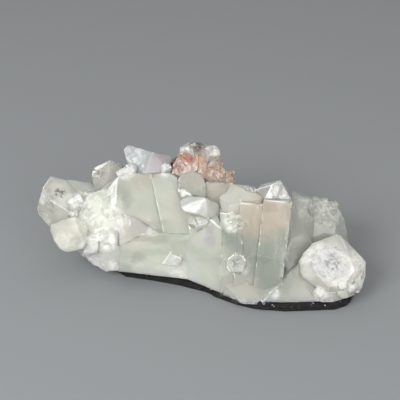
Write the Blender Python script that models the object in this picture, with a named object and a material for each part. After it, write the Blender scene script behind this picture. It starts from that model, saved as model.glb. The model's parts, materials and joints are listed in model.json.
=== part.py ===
"""Apophyllite cluster: blocky crystals on basalt, with a crest of stilbite. Metres, +Z up."""

import math
import random

import bmesh
import bpy
from mathutils import Matrix, Vector

MM = 0.001
GAP = 0.3  # mm, between one node and the next

# Everything below is in millimetres, in the specimen's own frame: X along it, Y to its back, Z up.
# CENTRE is the middle of the finished specimen's outline, which goes to the origin.
CENTRE = (-0.5, -2.7)
BED = 2.2  # mm, the crystals' lowest point: the basalt under them is at least this thick

# An apophyllite crystal is a square prism. Its pyramid faces stand over the prism's corners, and
# the mineral fixes their normal's angle from the long axis.
PYRAMID_FROM_AXIS = math.radians(60.4)

# Whole crystals: name, middle of the crown, long axis, way that the broad face looks,
# width, depth, length, how far the pyramid faces come down the corners
PRISMS = (
    # the ridge, left of the middle
    ("peach_face", (7.0, 6.0, 33.0), (0.05, 0.4, 0.9), (0.0, -1.0, 0.3), 10.0, 9.0, 24, 0.5),
    # the tall prisms right of the middle
    ("peach_prism", (18.8, -5.6, 32.4), (0.08, 0.34, 0.94), (0.0, -1.0, 0.4), 9.2, 12.0, 34, 0.0),
    ("front_prism", (27.3, -5.8, 33.6), (0.1, 0.34, 0.93), (0.0, -1.0, 0.4), 10.2, 12.0, 34, 0.0),
    # the front right
    ("small_round", (12.8, -19.3, 14.1), (-0.1, -0.85, 0.5), (-0.6, 0.4, 0.7), 7.0, 6.5, 12, 3.0),
)

# Crystals that crowd each other or are broken, by their corners
BLOCKS = {
    # the broad sloping face in the middle and the bright face to its left
    "saddle": (
        (-33.5, 1.2, 33), (-29.5, 3.5, 36.5), (-26, 4.5, 37.5), (-18, 5, 36.5), (-14, -7.5, 20), (-15, -9, 16),
        (-31, -4.8, 26), (-29, -10.8, 16), (-40, 14, 24), (-16, 16, 26), (-38, 12, 8), (-12, 12, 6),
        (-12, -4, 6), (-34, -2, 8), (-38, 8, 28),
    ),
    "bright_face": (
        (-40.5, 3, 29.5), (-33.5, 1, 33), (-31.5, -1.7, 29.5), (-30.5, -5.2, 25), (-29, -11.2, 16),
        (-36.5, -8, 16), (-42, -4.5, 14), (-45, -0.5, 21), (-46, 3, 24), (-34, 8, 26), (-44, 8, 20),
        (-32, 0, 10), (-40, 4, 8),
    ),
    # a lighter plate grown on its foot
    "step": (
        (-30.5, -5.4, 26), (-27, -5.8, 26), (-23.5, -6.4, 25.2), (-18.5, -7.5, 22.3), (-14, -8.6, 19.4),
        (-15, -9.8, 19.6), (-18, -9.5, 21), (-21, -10.3, 20.6), (-23.5, -10.8, 19), (-26, -12, 16.5),
        (-29, -12, 16.5), (-26, -3, 14), (-18, -4, 14),
    ),
    "shoulder": (
        (-18, 4.5, 37), (-11, 4.5, 37.5), (-8.5, 3.5, 36), (-8, -1, 29), (-2.5, -9, 20.5),
        (-3.5, -10.8, 18.5), (-5, -12, 14), (-12.5, -10.4, 18.5), (-14, -7.8, 19.5), (-17, 14, 30), (-6, 14, 30),
        (-14, 8, 6), (-2, 8, 6), (-2, -6, 8), (-14, -6, 8),
    ),
    # the smooth green front under them
    "green_front": (
        (-28.5, -12.3, 17), (-24.5, -11.2, 18.8), (-21.5, -10.6, 20.4), (-18, -9.8, 20.6), (-13.5, -10.4, 18.6),
        (-3.5, -10.7, 18.4), (2, -9.5, 20), (-29.5, -14, 6.5), (-18.5, -14.5, 5), (-5.5, -15, 3.5),
        (2, -15.5, 2.2), (-30, 4, 4), (2, 6, 2.2), (0, 4, 18), (-26, 2, 16),
    ),
    "rough_foot": (
        (-46, -4, 9), (-41, -7, 5.5), (-35, -9.5, 3), (-29.5, -12, 5.5), (-28, -11, 16),
        (-36.5, -7, 15.5), (-42, -4, 14), (-40, 4, 5), (-28, 4, 3), (-30, 0, 18), (-44, 2, 14),
    ),
    # the flat mint wall right of it
    "mint_wall": (
        (-7.8, -1.4, 28.6), (-3, -9.2, 21), (8, -12.5, 24), (8, -19.8, 2.2), (0, -15.7, 2.2), (-6, -14.5, 3.5),
        (-6, -11.5, 15.5), (8, 2, 26), (-3, 2, 24), (8, 2, 2.2), (-6, 2, 2.2), (2, -8, 28), (6, -8.5, 28),
    ),
    "cream_block": (
        (7, -5, 33), (11.5, -1, 36), (17.5, 0, 35), (20, 0, 34), (15.5, -6, 34), (14, -9, 33),
        (22.5, -8, 35), (10.5, -9, 32), (9, -12, 22), (14, -14, 22), (21, 4, 24), (6, 2, 24),
    ),
    "recess": (
        (7, -9.5, 29.5), (14.5, -12, 30), (15, -17, 20.5), (16.5, -21, 5), (7.5, -19.9, 2.2), (8, -14, 19),
        (7, 4, 26), (20, 4, 26), (7, 4, 3), (20, 4, 3),
    ),
    "white_tip": (
        (28.5, -4, 39.5), (25.5, -6.5, 39.3), (22, -4.5, 38), (20, -5, 36.5), (23, -9, 35), (32, -7.5, 34),
        (25.5, -9.5, 35.5), (22, -6, 28), (32, -5, 28), (28, 2, 30), (31, 0, 34), (24, 0, 36),
    ),
    # behind on the left and on the right
    "lilac_prism": (
        (-28.5, 17, 40), (-27, 18, 41.5), (-17.5, 11, 42.3), (-11, 13, 39.5), (-10.5, 11, 37.5),
        (-11, 8.5, 35), (-20, 6.5, 36), (-25.5, 10.5, 34), (-27.5, 14, 38), (-24, 24, 35), (-13, 22, 33),
        (-24, 20, 27), (-13, 16, 27), (-20, 8, 30),
    ),
    "grey_prism": (
        (-39, 10, 36.5), (-33, 11, 39), (-29.5, 12, 35), (-31, 9, 32.5), (-34.5, 6, 31), (-39, 6, 29),
        (-40, 8.5, 34.5), (-38, 17, 32), (-29, 18, 33), (-38, 14, 16), (-28, 14, 16), (-37, 6, 18), (-31, 8, 18),
    ),
    "back_shoulder": (
        (40, 1, 28.5), (48, 2.5, 26.5), (50, 2, 26), (53, -1.5, 21.5), (41, -7, 23.5), (49, -6.5, 21.5),
        (54.5, -7, 14), (49, -13, 11), (40, -13.2, 14.5), (41, 12, 22), (50, 12, 21), (55, 6, 14), (42, -6, 5),
        (54, -4, 5), (42, 10, 5), (53, 8, 5),
    ),
    # the left end
    "end_block": (
        (-55, 8, 34), (-49.5, 8, 32), (-47.5, 2.5, 30), (-54.5, 0, 28.5), (-57.5, 4, 31.5),
        (-60, 1.5, 24), (-59.5, 0.5, 22), (-55, -2.5, 18), (-45, -1, 22), (-44, 3, 28.5),
        (-56, 12, 26), (-44, 14, 26), (-44, 10, 12), (-54, 8, 16),
    ),
    "end_ridge": (
        (-49.5, 9, 32), (-41, 9, 30.5), (-37, 6, 29), (-48, 3, 28.5), (-42, 2, 26), (-50, 14, 24),
        (-36, 16, 24), (-46, 6, 12), (-36, 6, 10), (-36, 14, 10),
    ),
    # the bright crystal on the ridge, and the clear dome behind it
    "cube": (
        (-7, -6, 32.5), (-3, -5, 34), (2, -8.5, 35), (7, -6, 30.5), (7, -8, 26.5), (2.5, -12, 29),
        (-1.5, -11, 30), (-5.5, -9.5, 30), (-7, -8, 31), (-4, 0, 26), (4, 0, 26), (2, -6, 22),
    ),
    "dome": (
        (-7, 3.5, 37.5), (-4.5, 4.5, 38), (-1.5, 4.5, 38), (1, 3, 36.5), (2, 1, 35), (2, -3, 32), (-3, -3.5, 33),
        (-7, -3, 31), (-8, -1, 33.5), (-8, 1.5, 36), (-6, 10, 32), (2, 10, 32), (-6, 2, 20), (2, 2, 20),
    ),
    # a low square plate on the green front
    "corner_plate": (
        (-11, -13.3, 14.5), (-6.5, -13.9, 12.5), (-7.5, -15, 9.5), (-14, -14.5, 10.5), (-9, -8, 13), (-11, -8, 9),
    ),
    # the smoky wall right of the tall prisms
    "side_face": (
        (32, -8.5, 33.2), (37, -4, 32), (40.5, -2.5, 30.5), (41, -8, 23), (40, -12.5, 18), (36, -15, 11.5),
        (31, -18.5, 10), (29.5, -17.5, 13.5), (32.5, -13.5, 22.5), (34, 4, 30), (41, 4, 28), (42, 2, 8), (32, 2, 8),
    ),
    "end_knob": (
        (-45.5, -4, 24), (-42, -6.5, 20), (-41.5, -8.5, 16.5), (-42, -10, 14), (-48.5, -11, 13), (-51, -10, 14),
        (-53, -8.5, 16.5), (-54.5, -6.5, 19.5), (-54, -5.5, 21.5), (-50, -4.5, 23), (-48.5, -9, 23.3),
        (-44.5, -8.5, 24), (-42.5, -10.5, 20.5), (-46.5, -11.5, 19), (-48.5, 1.5, 18), (-44.5, -0.5, 15),
        (-45.5, -3, 11), (-51.5, -3, 11), (-53.5, -0.5, 15), (-40, 2, 18),
    ),
    # the front right
    "slab": (
        (22.5, -20, 6), (36, -16, 10), (42, -20, 8), (47, -25.5, 3), (46, -26, 2.4), (25, -27.5, 2.4),
        (22, -28, 2.3), (20, -12, 4), (42, -10, 4), (30, -28.5, 2.3),
    ),
    "lobe": (
        (7.5, -19, 6.5), (16, -21, 7), (23.5, -23, 5), (16, -28, 1.5), (8.6, -22.5, 1.5), (23, -28.5, 1.5),
        (7.2, -12, 1), (22, -14, 1),
    ),
    "ball": (
        (35, -19, 15), (35.5, -21.5, 11.5), (36.5, -22.5, 10), (40, -23.5, 8.5), (36.5, -17.5, 17.5),
        (40, -15.5, 20.5), (46, -14.5, 22.5), (48.5, -13.5, 23), (50, -14, 22.5), (53, -15.5, 20),
        (57.5, -18, 16), (59, -18.5, 14.5), (59, -21, 10), (57.5, -23.5, 6.5), (54, -25, 5), (45, -26, 5),
        (39, -22, 18.5), (42, -20.5, 21), (47.5, -20, 21.5), (52.5, -22, 19), (54, -24.5, 15), (51, -26.5, 11.5),
        (45.5, -27.5, 10), (40.5, -25, 13.5), (42, -10, 11), (51, -7, 16), (57, -10.5, 10.5), (54, -12, 5),
    ),
    "ball_foot": (
        (41, -25.5, 6), (43, -26.5, 3.5), (47, -27, 3), (51, -25.8, 2.8), (55, -24, 3.5), (57.5, -20, 5),
        (56, -12, 4), (42, -10, 3), (44, -12, 12), (54, -14, 12), (53, -25.5, 7), (46, -27.5, 7),
    ),
}

# The prisms that close the specimen's back, in the same terms as PRISMS
BACK_PRISMS = (
    ("back_left", (-31.0, 17.0, 24.0), (-0.2, 0.62, 0.75), (0.2, 1.0, 0.0), 14, 11, 20, 3.0),
    ("back_low_left", (-42.0, 13.0, 17.0), (-0.5, 0.55, 0.6), (0.2, 1.0, 0.0), 11, 10, 14, 3.0),
    ("back_middle", (-8.0, 17.0, 25.0), (0.1, 0.66, 0.75), (-0.2, 1.0, 0.0), 16, 12, 22, 3.0),
    ("back_low", (-20.0, 20.0, 13.0), (-0.1, 0.85, 0.5), (0.1, 1.0, 0.0), 13, 10, 14, 4.0),
    ("back_right", (13.0, 15.0, 25.0), (0.1, 0.6, 0.8), (0.1, 1.0, 0.0), 14, 12, 22, 3.0),
    ("back_low_right", (3.0, 19.0, 13.0), (0.1, 0.85, 0.5), (0.1, 1.0, 0.0), 12, 10, 14, 3.0),
    ("back_far_right", (29.0, 12.5, 22.0), (0.15, 0.55, 0.8), (0.2, 1.0, 0.0), 15, 12, 22, 4.0),
    ("back_corner", (42.0, 11.0, 15.0), (0.4, 0.7, 0.6), (0.4, 1.0, 0.0), 12, 11, 14, 4.0),
)

# Ledges of parallel growth on the back prisms: how far along the face, out of it and below the crown
# each stands, and its width and depth, all as shares of the prism's own width, depth or length
LEDGES = (
    (-0.34, 0.08, 0.14, 0.42, 0.70),
    (0.30, 0.13, 0.30, 0.46, 0.55),
    (0.02, 0.18, 0.52, 0.60, 0.60),
)

# Small crystals seated on the big ones, in the same terms as PRISMS
SMALL_PRISMS = (
    ("white_chip_left", (-27.5, 7.0, 37.5), (-0.3, 0.0, 0.95), (0.3, -0.9, 0.0), 4.5, 3.5, 6, 1.2),
    ("white_chip_inner", (-24.5, 8.5, 38.0), (0.2, 0.1, 0.95), (-0.3, -0.9, 0.0), 3.5, 4.0, 6, 1.0),
    ("white_chip_right", (-12.0, 8.0, 38.3), (0.3, -0.2, 0.9), (0.5, -0.8, 0.0), 3.2, 2.6, 6, 0.8),
    ("ridge_chip_left", (-45.5, 1.0, 28.8), (-0.3, -0.3, 0.9), (0.4, -0.9, 0.0), 5.8, 3.6, 7, 0.8),
    ("ridge_chip_right", (-42.8, 0.3, 27.0), (-0.1, -0.4, 0.9), (0.5, -0.9, 0.0), 4.2, 2.8, 7, 0.6),
    ("under_cube", (0.5, -10.5, 27.0), (0.1, -0.5, 0.85), (0.4, -0.9, 0.0), 4.5, 4.0, 8, 1.5),
    ("under_cube_left", (-2.5, -9.5, 26.5), (-0.3, -0.4, 0.85), (-0.5, -0.8, 0.0), 3.5, 3.5, 7, 1.2),
    ("crust_crystal", (13.0, -11.0, 29.0), (-0.1, -0.5, 0.85), (-0.6, -0.8, 0.0), 4.0, 3.6, 8, 1.2),
    ("crust_crystal_low", (12.0, -12.0, 24.5), (0.2, -0.6, 0.7), (-0.3, -0.8, 0.0), 3.6, 3.2, 7, 1.2),
    ("slab_chip", (28.0, -25.6, 6.0), (0.0, -0.5, 0.85), (0.4, -0.9, 0.0), 4.5, 3.5, 6, 1.2),
)

# Stilbite: a crust of blades in lumps on the top of the ridge: middle and half sizes of each lump
STILBITE_LUMPS = (
    ((-5.0, 13.0, 36.5), (4.8, 5.0, 5.6)),
    ((-0.5, 13.5, 37.5), (5.4, 5.0, 5.0)),
    ((4.8, 12.0, 35.8), (4.2, 4.5, 4.4)),
    ((9.0, 9.5, 31.5), (4.4, 4.0, 3.3)),
    ((-9.0, 13.0, 33.5), (2.8, 4.0, 4.2)),
)
BLADES_PER_LUMP = 13
BLADE = (2.2, 0.8)  # width, thickness
BLADE_REACH = 1.12  # how far the blades stand out of their lump, as a share of its size

# Clear crystals on the stilbite, in the same terms as PRISMS
CREST_PRISMS = (
    ("cap_left", (-4.5, 14.0, 43.5), (-0.3, 0.2, 0.9), (-0.4, -0.9, 0.0), 5.5, 5.0, 6, 1.5),
    ("cap_middle", (-1.5, 15.0, 43.8), (0.1, 0.3, 0.9), (0.3, -0.9, 0.0), 5.0, 5.0, 7, 1.5),
    ("cap_low", (0.8, 13.2, 43.4), (0.2, 0.0, 0.95), (-0.2, -0.9, 0.0), 4.0, 4.0, 6, 1.0),
    ("cap_right", (4.4, 12.3, 42.6), (0.15, -0.2, 0.95), (0.5, -0.9, 0.0), 5.5, 5.0, 7, 1.6),
)

# Basalt: the plate's outline seen from above, from its left end round the front, and its height there
BASALT_OUTLINE = (
    (-33, -3, 7.5), (-28, -6.5, 7), (-18, -8, 6.5), (-5, -8.8, 5), (2, -10.2, 4), (8, -15.5, 3.4),
    (13, -22, 3), (19, -26.2, 2.8), (30, -28.8, 2.8), (39, -26.8, 2.8), (47, -23, 3), (53, -16, 3.5),
    (53, -6, 6), (51, 4, 8), (44, 11, 8), (30, 15, 8), (10, 17, 8), (-10, 18, 8), (-27, 16, 8),
    (-38, 9, 9), (-40, 0, 9),
)
BASALT_RINGS = ((0.0, -0.3), (0.35, 0.5), (0.75, 0.3), (1.0, -1.6))  # share of the height, how far out there
BASALT_ROUGHNESS = 0.4


def hull(points, grow=0.0):
    """The convex solid around the points, as a bmesh; grow moves its faces out by that much."""
    shape = bmesh.new()
    for point in points:
        shape.verts.new(point)
    made = bmesh.ops.convex_hull(shape, input=shape.verts)
    unused = {item for item in made["geom_interior"] + made["geom_unused"] if isinstance(item, bmesh.types.BMVert)}
    bmesh.ops.delete(shape, geom=list(unused), context="VERTS")
    bmesh.ops.dissolve_limit(shape, angle_limit=math.radians(0.5), verts=shape.verts, edges=shape.edges)
    bmesh.ops.recalc_face_normals(shape, faces=shape.faces)
    if grow == 0:
        return shape
    shape.normal_update()
    grown = [vert.co + vert.normal * grow * vert.calc_shell_factor() for vert in shape.verts]
    shape.free()
    return hull(grown)


def turned(up, out):
    """The turn that stands a shape's Z along up, with its -Y as near to out as it goes."""
    up = Vector(up).normalized()
    out = Vector(out)
    out = (out - out.dot(up) * up).normalized()
    return Matrix(((-out).cross(up), -out, up)).transposed().to_4x4()


def prism_corners(crown, axis, facing, width, depth, length, corner):
    """The corners of a square prism under its crown, with the pyramid faces cut over its corners."""
    shape = bmesh.new()
    bmesh.ops.create_cube(shape, size=1.0)
    for vert in shape.verts:
        vert.co = (vert.co.x * width, vert.co.y * depth, 0.0 if vert.co.z > 0 else -length)
    flat = math.sin(PYRAMID_FROM_AXIS) / math.sqrt(2)
    rise = math.cos(PYRAMID_FROM_AXIS)
    for sx, sy in ((-1, -1), (-1, 1), (1, -1), (1, 1)):
        if corner <= 0:
            continue
        bmesh.ops.bisect_plane(
            shape,
            geom=shape.verts[:] + shape.edges[:] + shape.faces[:],
            plane_co=(sx * width / 2, sy * depth / 2, -corner),
            plane_no=(sx * flat, sy * flat, rise),
            clear_outer=True,
        )
        bmesh.ops.contextual_create(shape, geom=[edge for edge in shape.edges if edge.is_boundary])
    place = Matrix.Translation(crown) @ turned(axis, facing)
    corners = [place @ vert.co for vert in shape.verts]
    shape.free()
    return corners


def ledge_forms(crown, axis, facing, width, depth, length, corner):
    """The smaller prisms that have grown parallel to a prism, stepped out of its broad face."""
    turn = turned(axis, facing)
    for along, out, drop, wide, deep in LEDGES:
        stand_out = (out + (1 - deep) / 2) * depth
        place = Vector(crown) + turn @ Vector((along * width, -stand_out, -drop * length))
        yield place, axis, facing, wide * width, deep * depth, length * (0.85 - drop), corner * wide


def crystal_shapes(grow=0.0):
    """Every crystal of the main mass, one convex shape each."""
    shapes = {}
    for name, *form in BACK_PRISMS:
        for number, ledge in enumerate(ledge_forms(*form)):
            shapes[f"{name}_ledge_{number}"] = hull(prism_corners(*ledge), grow)
    for name, *form in PRISMS + BACK_PRISMS + SMALL_PRISMS:
        shapes[name] = hull(prism_corners(*form), grow)
    for name, corners in BLOCKS.items():
        shapes[name] = hull(corners, grow)
    return shapes


def crest_shapes(grow=0.0):
    """The clear crystals that stand on the stilbite."""
    return {name: hull(prism_corners(*form), grow) for name, *form in CREST_PRISMS}


def stilbite_shapes():
    """Rough lumps with blades that fan out of each."""
    dice = random.Random(7)
    golden_turn = math.pi * (3 - math.sqrt(5))
    shapes = {}
    for number, (middle, half) in enumerate(STILBITE_LUMPS):
        ball = bmesh.new()
        bmesh.ops.create_icosphere(ball, subdivisions=2, radius=1.0)
        points = []
        for vert in ball.verts:
            swell = dice.uniform(0.86, 1.02)
            points.append([m + h * c * swell for m, h, c in zip(middle, half, vert.co)])
        ball.free()
        shapes[f"lump_{number}"] = hull(points)
        for blade in range(BLADES_PER_LUMP):
            rise = 1 - 1.35 * (blade + 0.5) / BLADES_PER_LUMP
            round_angle = golden_turn * blade + number
            level = math.sqrt(1 - rise * rise)
            way = Vector((level * math.cos(round_angle), level * math.sin(round_angle), rise))
            reach = BLADE_REACH * dice.uniform(0.92, 1.06)
            tip = Vector([m + h * c * reach for m, h, c in zip(middle, half, way)])
            length = (tip - Vector(middle)).length * 0.8
            lean = Vector((dice.uniform(-1, 1), dice.uniform(-1, 1), dice.uniform(-1, 1)))
            width, thick = BLADE
            shapes[f"blade_{number}_{blade}"] = hull(
                prism_corners(tip, tip - Vector(middle), lean, width, thick, length, 0.0)
            )
    return shapes


def basalt_shape():
    """The rough plate: rings round its outline from the flat underside up, and a top over them."""
    dice = random.Random(3)
    shape = bmesh.new()
    count = len(BASALT_OUTLINE)
    middle = Vector([sum(point[k] for point in BASALT_OUTLINE) / count for k in range(3)])
    rings = []
    for share, stand_out in BASALT_RINGS:
        ring = []
        for x, y, height in BASALT_OUTLINE:
            away = Vector((x - middle.x, y - middle.y, 0)).normalized()
            rough = Vector((dice.uniform(-1, 1), dice.uniform(-1, 1), dice.uniform(-1, 1))) * BASALT_ROUGHNESS
            if share == 0:
                rough = Vector()
            ring.append(shape.verts.new(Vector((x, y, height * share)) + away * stand_out + rough))
        rings.append(ring)
    for lower, upper in zip(rings, rings[1:]):
        for k in range(count):
            n = (k + 1) % count
            shape.faces.new((lower[k], lower[n], upper[n], upper[k]))
    shape.faces.new(list(reversed(rings[0])))
    centre = shape.verts.new(middle)
    for k in range(count):
        shape.faces.new((rings[-1][k], rings[-1][(k + 1) % count], centre))
    bmesh.ops.recalc_face_normals(shape, faces=shape.faces)
    return shape


def to_object(name, shape):
    """Makes a bmesh in millimetres an object in metres."""
    mesh = bpy.data.meshes.new(name)
    bmesh.ops.scale(shape, vec=(MM, MM, MM), verts=shape.verts)
    bmesh.ops.translate(shape, vec=(-CENTRE[0] * MM, -CENTRE[1] * MM, 0), verts=shape.verts)
    bmesh.ops.triangulate(shape, faces=shape.faces)
    shape.to_mesh(mesh)
    shape.free()
    thing = bpy.data.objects.new(name, mesh)
    bpy.context.scene.collection.objects.link(thing)
    return thing


def combine(thing, tools, operation):
    """Joins objects to another, or cuts them out of it, with one Boolean, which is then applied.

    The crystals meet at shallow angles, where the exact solver leaves open edges, and every shape
    here is closed, so the manifold solver does it.
    """
    group = bpy.data.collections.new(f"{thing.name}_tools")
    bpy.context.scene.collection.children.link(group)
    for tool in tools:
        for home in list(tool.users_collection):
            home.objects.unlink(tool)
        group.objects.link(tool)
        tool.hide_render = True
        tool.display_type = "WIRE"
    boolean = thing.modifiers.new("combine", "BOOLEAN")
    boolean.operation = operation
    boolean.operand_type = "COLLECTION"
    boolean.collection = group
    boolean.solver = "MANIFOLD"
    bpy.context.view_layer.update()
    result = bpy.data.meshes.new_from_object(thing.evaluated_get(bpy.context.evaluated_depsgraph_get()))
    thing.modifiers.clear()
    thing.data = result
    thing.data.name = thing.name
    for tool in list(group.objects):
        bpy.data.objects.remove(tool)
    bpy.data.collections.remove(group)


def fused(name, shapes):
    """One solid object of overlapping shapes."""
    parts = [to_object(f"{name}_{key}", shape) for key, shape in shapes.items()]
    parts[0].name = name
    combine(parts[0], parts[1:], "UNION")
    return parts[0]


def cut_off_below(thing, level):
    """Cuts an object flat at a level, in millimetres."""
    block = bmesh.new()
    bmesh.ops.create_cube(block, size=2.0)
    reach, drop = 100.0, 40.0
    for vert in block.verts:
        vert.co = (vert.co.x * reach, vert.co.y * reach, level if vert.co.z > 0 else level - drop)
    combine(thing, [to_object("level_cut", block)], "DIFFERENCE")


def keep_largest(thing):
    """Drops the crumbs that a cut leaves free, so that one body stays."""
    shape = bmesh.new()
    shape.from_mesh(thing.data)
    waiting = set(shape.verts)
    bodies = []
    while waiting:
        body = set()
        edge_of_search = [next(iter(waiting))]
        while edge_of_search:
            vert = edge_of_search.pop()
            if vert in body:
                continue
            body.add(vert)
            edge_of_search += [edge.other_vert(vert) for edge in vert.link_edges]
        waiting -= body
        bodies.append(body)
    bodies.sort(key=len)
    crumbs = [vert for body in bodies[:-1] for vert in body]
    bmesh.ops.delete(shape, geom=crumbs, context="VERTS")
    shape.to_mesh(thing.data)
    shape.free()


def finish(thing, colour, roughness):
    """Gives an object its material and flat shading."""
    material = bpy.data.materials.new(thing.name)
    material.use_nodes = True
    surface = material.node_tree.nodes["Principled BSDF"]
    surface.inputs["Base Color"].default_value = (*colour, 1.0)
    surface.inputs["Roughness"].default_value = roughness
    surface.inputs["Metallic"].default_value = 0.0
    material.diffuse_color = (*colour, 1.0)
    thing.data.materials.clear()
    thing.data.materials.append(material)
    thing.data.shade_flat()


def build():
    for old in list(bpy.data.objects):
        bpy.data.objects.remove(old)

    crystals = fused("apophyllite_crystals", crystal_shapes())
    cut_off_below(crystals, BED)
    finish(crystals, (0.62, 0.68, 0.60), 0.25)

    crest = fused("crest_crystals", crest_shapes())
    combine(crest, [fused("crystals_and_gap", crystal_shapes(GAP))], "DIFFERENCE")
    keep_largest(crest)
    finish(crest, (0.85, 0.85, 0.82), 0.15)

    stilbite = fused("stilbite_crust", stilbite_shapes())
    around = [fused("crystals_and_gap", crystal_shapes(GAP)), fused("crest_and_gap", crest_shapes(GAP))]
    combine(stilbite, around, "DIFFERENCE")
    keep_largest(stilbite)
    finish(stilbite, (0.62, 0.33, 0.26), 0.45)

    basalt = to_object("basalt_matrix", basalt_shape())
    bed = fused("crystals_and_gap", crystal_shapes(GAP))
    cut_off_below(bed, BED - GAP)
    combine(basalt, [bed], "DIFFERENCE")
    keep_largest(basalt)
    finish(basalt, (0.03, 0.03, 0.035), 0.7)


build()
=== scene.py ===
# %% [markdown]
# # Apophyllite cluster
# A hand specimen about 120 mm long: blocky green apophyllite crystals grown together on a plate of
# dark basalt, with a crest of pink stilbite and a few clear crystals on top. The shapes follow the
# mineral's own rules, so the script keeps one list of crystals and makes every surface from it.
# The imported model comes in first, as the fixed frame that all the pieces below must stay within.

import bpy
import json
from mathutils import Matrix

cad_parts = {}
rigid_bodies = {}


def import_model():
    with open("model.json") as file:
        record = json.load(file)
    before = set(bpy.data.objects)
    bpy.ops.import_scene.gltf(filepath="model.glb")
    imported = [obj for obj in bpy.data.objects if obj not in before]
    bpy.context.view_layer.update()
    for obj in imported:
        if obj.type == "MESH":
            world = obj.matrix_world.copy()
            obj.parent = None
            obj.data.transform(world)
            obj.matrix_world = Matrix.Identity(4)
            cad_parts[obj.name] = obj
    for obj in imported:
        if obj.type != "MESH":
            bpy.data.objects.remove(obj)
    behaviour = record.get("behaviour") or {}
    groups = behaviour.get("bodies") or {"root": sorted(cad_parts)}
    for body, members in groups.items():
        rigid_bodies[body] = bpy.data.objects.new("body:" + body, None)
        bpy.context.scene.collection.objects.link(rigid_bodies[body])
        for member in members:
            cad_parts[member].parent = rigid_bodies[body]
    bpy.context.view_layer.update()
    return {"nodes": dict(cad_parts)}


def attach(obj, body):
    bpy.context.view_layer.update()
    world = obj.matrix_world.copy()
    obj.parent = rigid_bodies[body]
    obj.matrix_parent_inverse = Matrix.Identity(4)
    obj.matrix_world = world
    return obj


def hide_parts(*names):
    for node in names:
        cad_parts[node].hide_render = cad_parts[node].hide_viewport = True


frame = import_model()
print("frame nodes:", sorted(frame["nodes"]))

# %% [markdown]
# Crystals are small, so every size below is in millimetres, in the specimen's own frame: X along
# it, Y to its back, Z up. Blender wants metres, and the frame has its origin under the middle of
# the specimen, so one helper moves a finished shape there. It also leaves the object itself at the
# origin, unturned and unscaled, so that patterns on Object coordinates stay where they are put.

# %% Millimetres to the frame
import json
import math
import random

import bmesh
import bpy
import numpy as np
from mathutils import Matrix, Vector, noise

MM = 0.001
CENTRE = Vector((-0.5, -2.7, 0.0))  # mm: the place on the specimen that goes to the frame's origin
BED = 2.2  # the lowest point of the crystals, above the basalt's flat underside


def in_frame(point):
    """A point in millimetres, as metres in the frame."""
    return (Vector(point) - CENTRE) * MM


def on_stone(point):
    """A point of a finished mesh, back in millimetres on the specimen."""
    return point / MM + CENTRE


def new_object(name, data):
    """A new object of the scene, with its data."""
    thing = bpy.data.objects.new(name, data)
    bpy.context.scene.collection.objects.link(thing)
    return thing


def to_object(name, shape):
    """Makes a bmesh in millimetres an object in metres."""
    mesh = bpy.data.meshes.new(name)
    bmesh.ops.translate(shape, vec=-CENTRE, verts=shape.verts)
    bmesh.ops.scale(shape, vec=(MM, MM, MM), verts=shape.verts)
    shape.to_mesh(mesh)
    shape.free()
    return new_object(name, mesh)


# %% [markdown]
# Apophyllite is tetragonal: a crystal is a square prism with a flat end, and its pyramid faces
# stand over the prism's corners at an angle that the mineral fixes. A prism could be drawn corner
# by corner, but it is truer to cut a block with planes at that angle. Crystals that crowd each
# other, or that have broken, have no regular form left, so those are given by their corners, and
# the convex hull closes them.

# %% One crystal
PYRAMID_FROM_AXIS = math.radians(60.4)
FLAT_WITHIN = math.radians(0.5)  # faces that meet at less than this are one face


def hull(points):
    """The convex solid around the points, as a bmesh."""
    shape = bmesh.new()
    for point in points:
        shape.verts.new(point)
    made = bmesh.ops.convex_hull(shape, input=shape.verts)
    left_over = made["geom_interior"] + made["geom_unused"]
    inner = {item for item in left_over if isinstance(item, bmesh.types.BMVert)}
    bmesh.ops.delete(shape, geom=list(inner), context="VERTS")
    bmesh.ops.dissolve_limit(shape, angle_limit=FLAT_WITHIN, verts=shape.verts, edges=shape.edges)
    bmesh.ops.recalc_face_normals(shape, faces=shape.faces)
    return shape


def turned(up, out):
    """The turn that stands a shape's Z along up, with its -Y as near to out as it goes."""
    up = Vector(up).normalized()
    out = Vector(out)
    out = (out - out.dot(up) * up).normalized()
    return Matrix(((-out).cross(up), -out, up)).transposed().to_4x4()


def prism_corners(crown, axis, facing, width, depth, length, corner):
    """The corners of a square prism under its crown, with pyramid faces cut over its corners."""
    shape = bmesh.new()
    bmesh.ops.create_cube(shape, size=1.0)
    for vert in shape.verts:
        vert.co = (vert.co.x * width, vert.co.y * depth, 0.0 if vert.co.z > 0 else -length)
    flat = math.sin(PYRAMID_FROM_AXIS) / math.sqrt(2)
    rise = math.cos(PYRAMID_FROM_AXIS)
    sides = ((-1, -1), (-1, 1), (1, -1), (1, 1)) if corner > 0 else ()
    for sx, sy in sides:
        bmesh.ops.bisect_plane(
            shape,
            geom=shape.verts[:] + shape.edges[:] + shape.faces[:],
            plane_co=(sx * width / 2, sy * depth / 2, -corner),
            plane_no=(sx * flat, sy * flat, rise),
            clear_outer=True,
        )
        rim = [edge for edge in shape.edges if edge.is_boundary]
        bmesh.ops.contextual_create(shape, geom=rim)
    place = Matrix.Translation(crown) @ turned(axis, facing)
    corners = [place @ vert.co for vert in shape.verts]
    shape.free()
    return corners


sample = hull(prism_corners((0, 0, 0), (0, 0, 1), (0, -1, 0), 8, 8, 12, 3))
print("a sample crystal has", len(sample.faces), "faces")
sample.free()

# %% [markdown]
# This is the list of the whole crystals: the middle of the crown, the long axis, the way that the
# broad face looks, width, depth, length, and how far the pyramid faces come down the corners.
# Neighbours that grew on one side of the plate lean the same way, as they do on the real thing.

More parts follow.
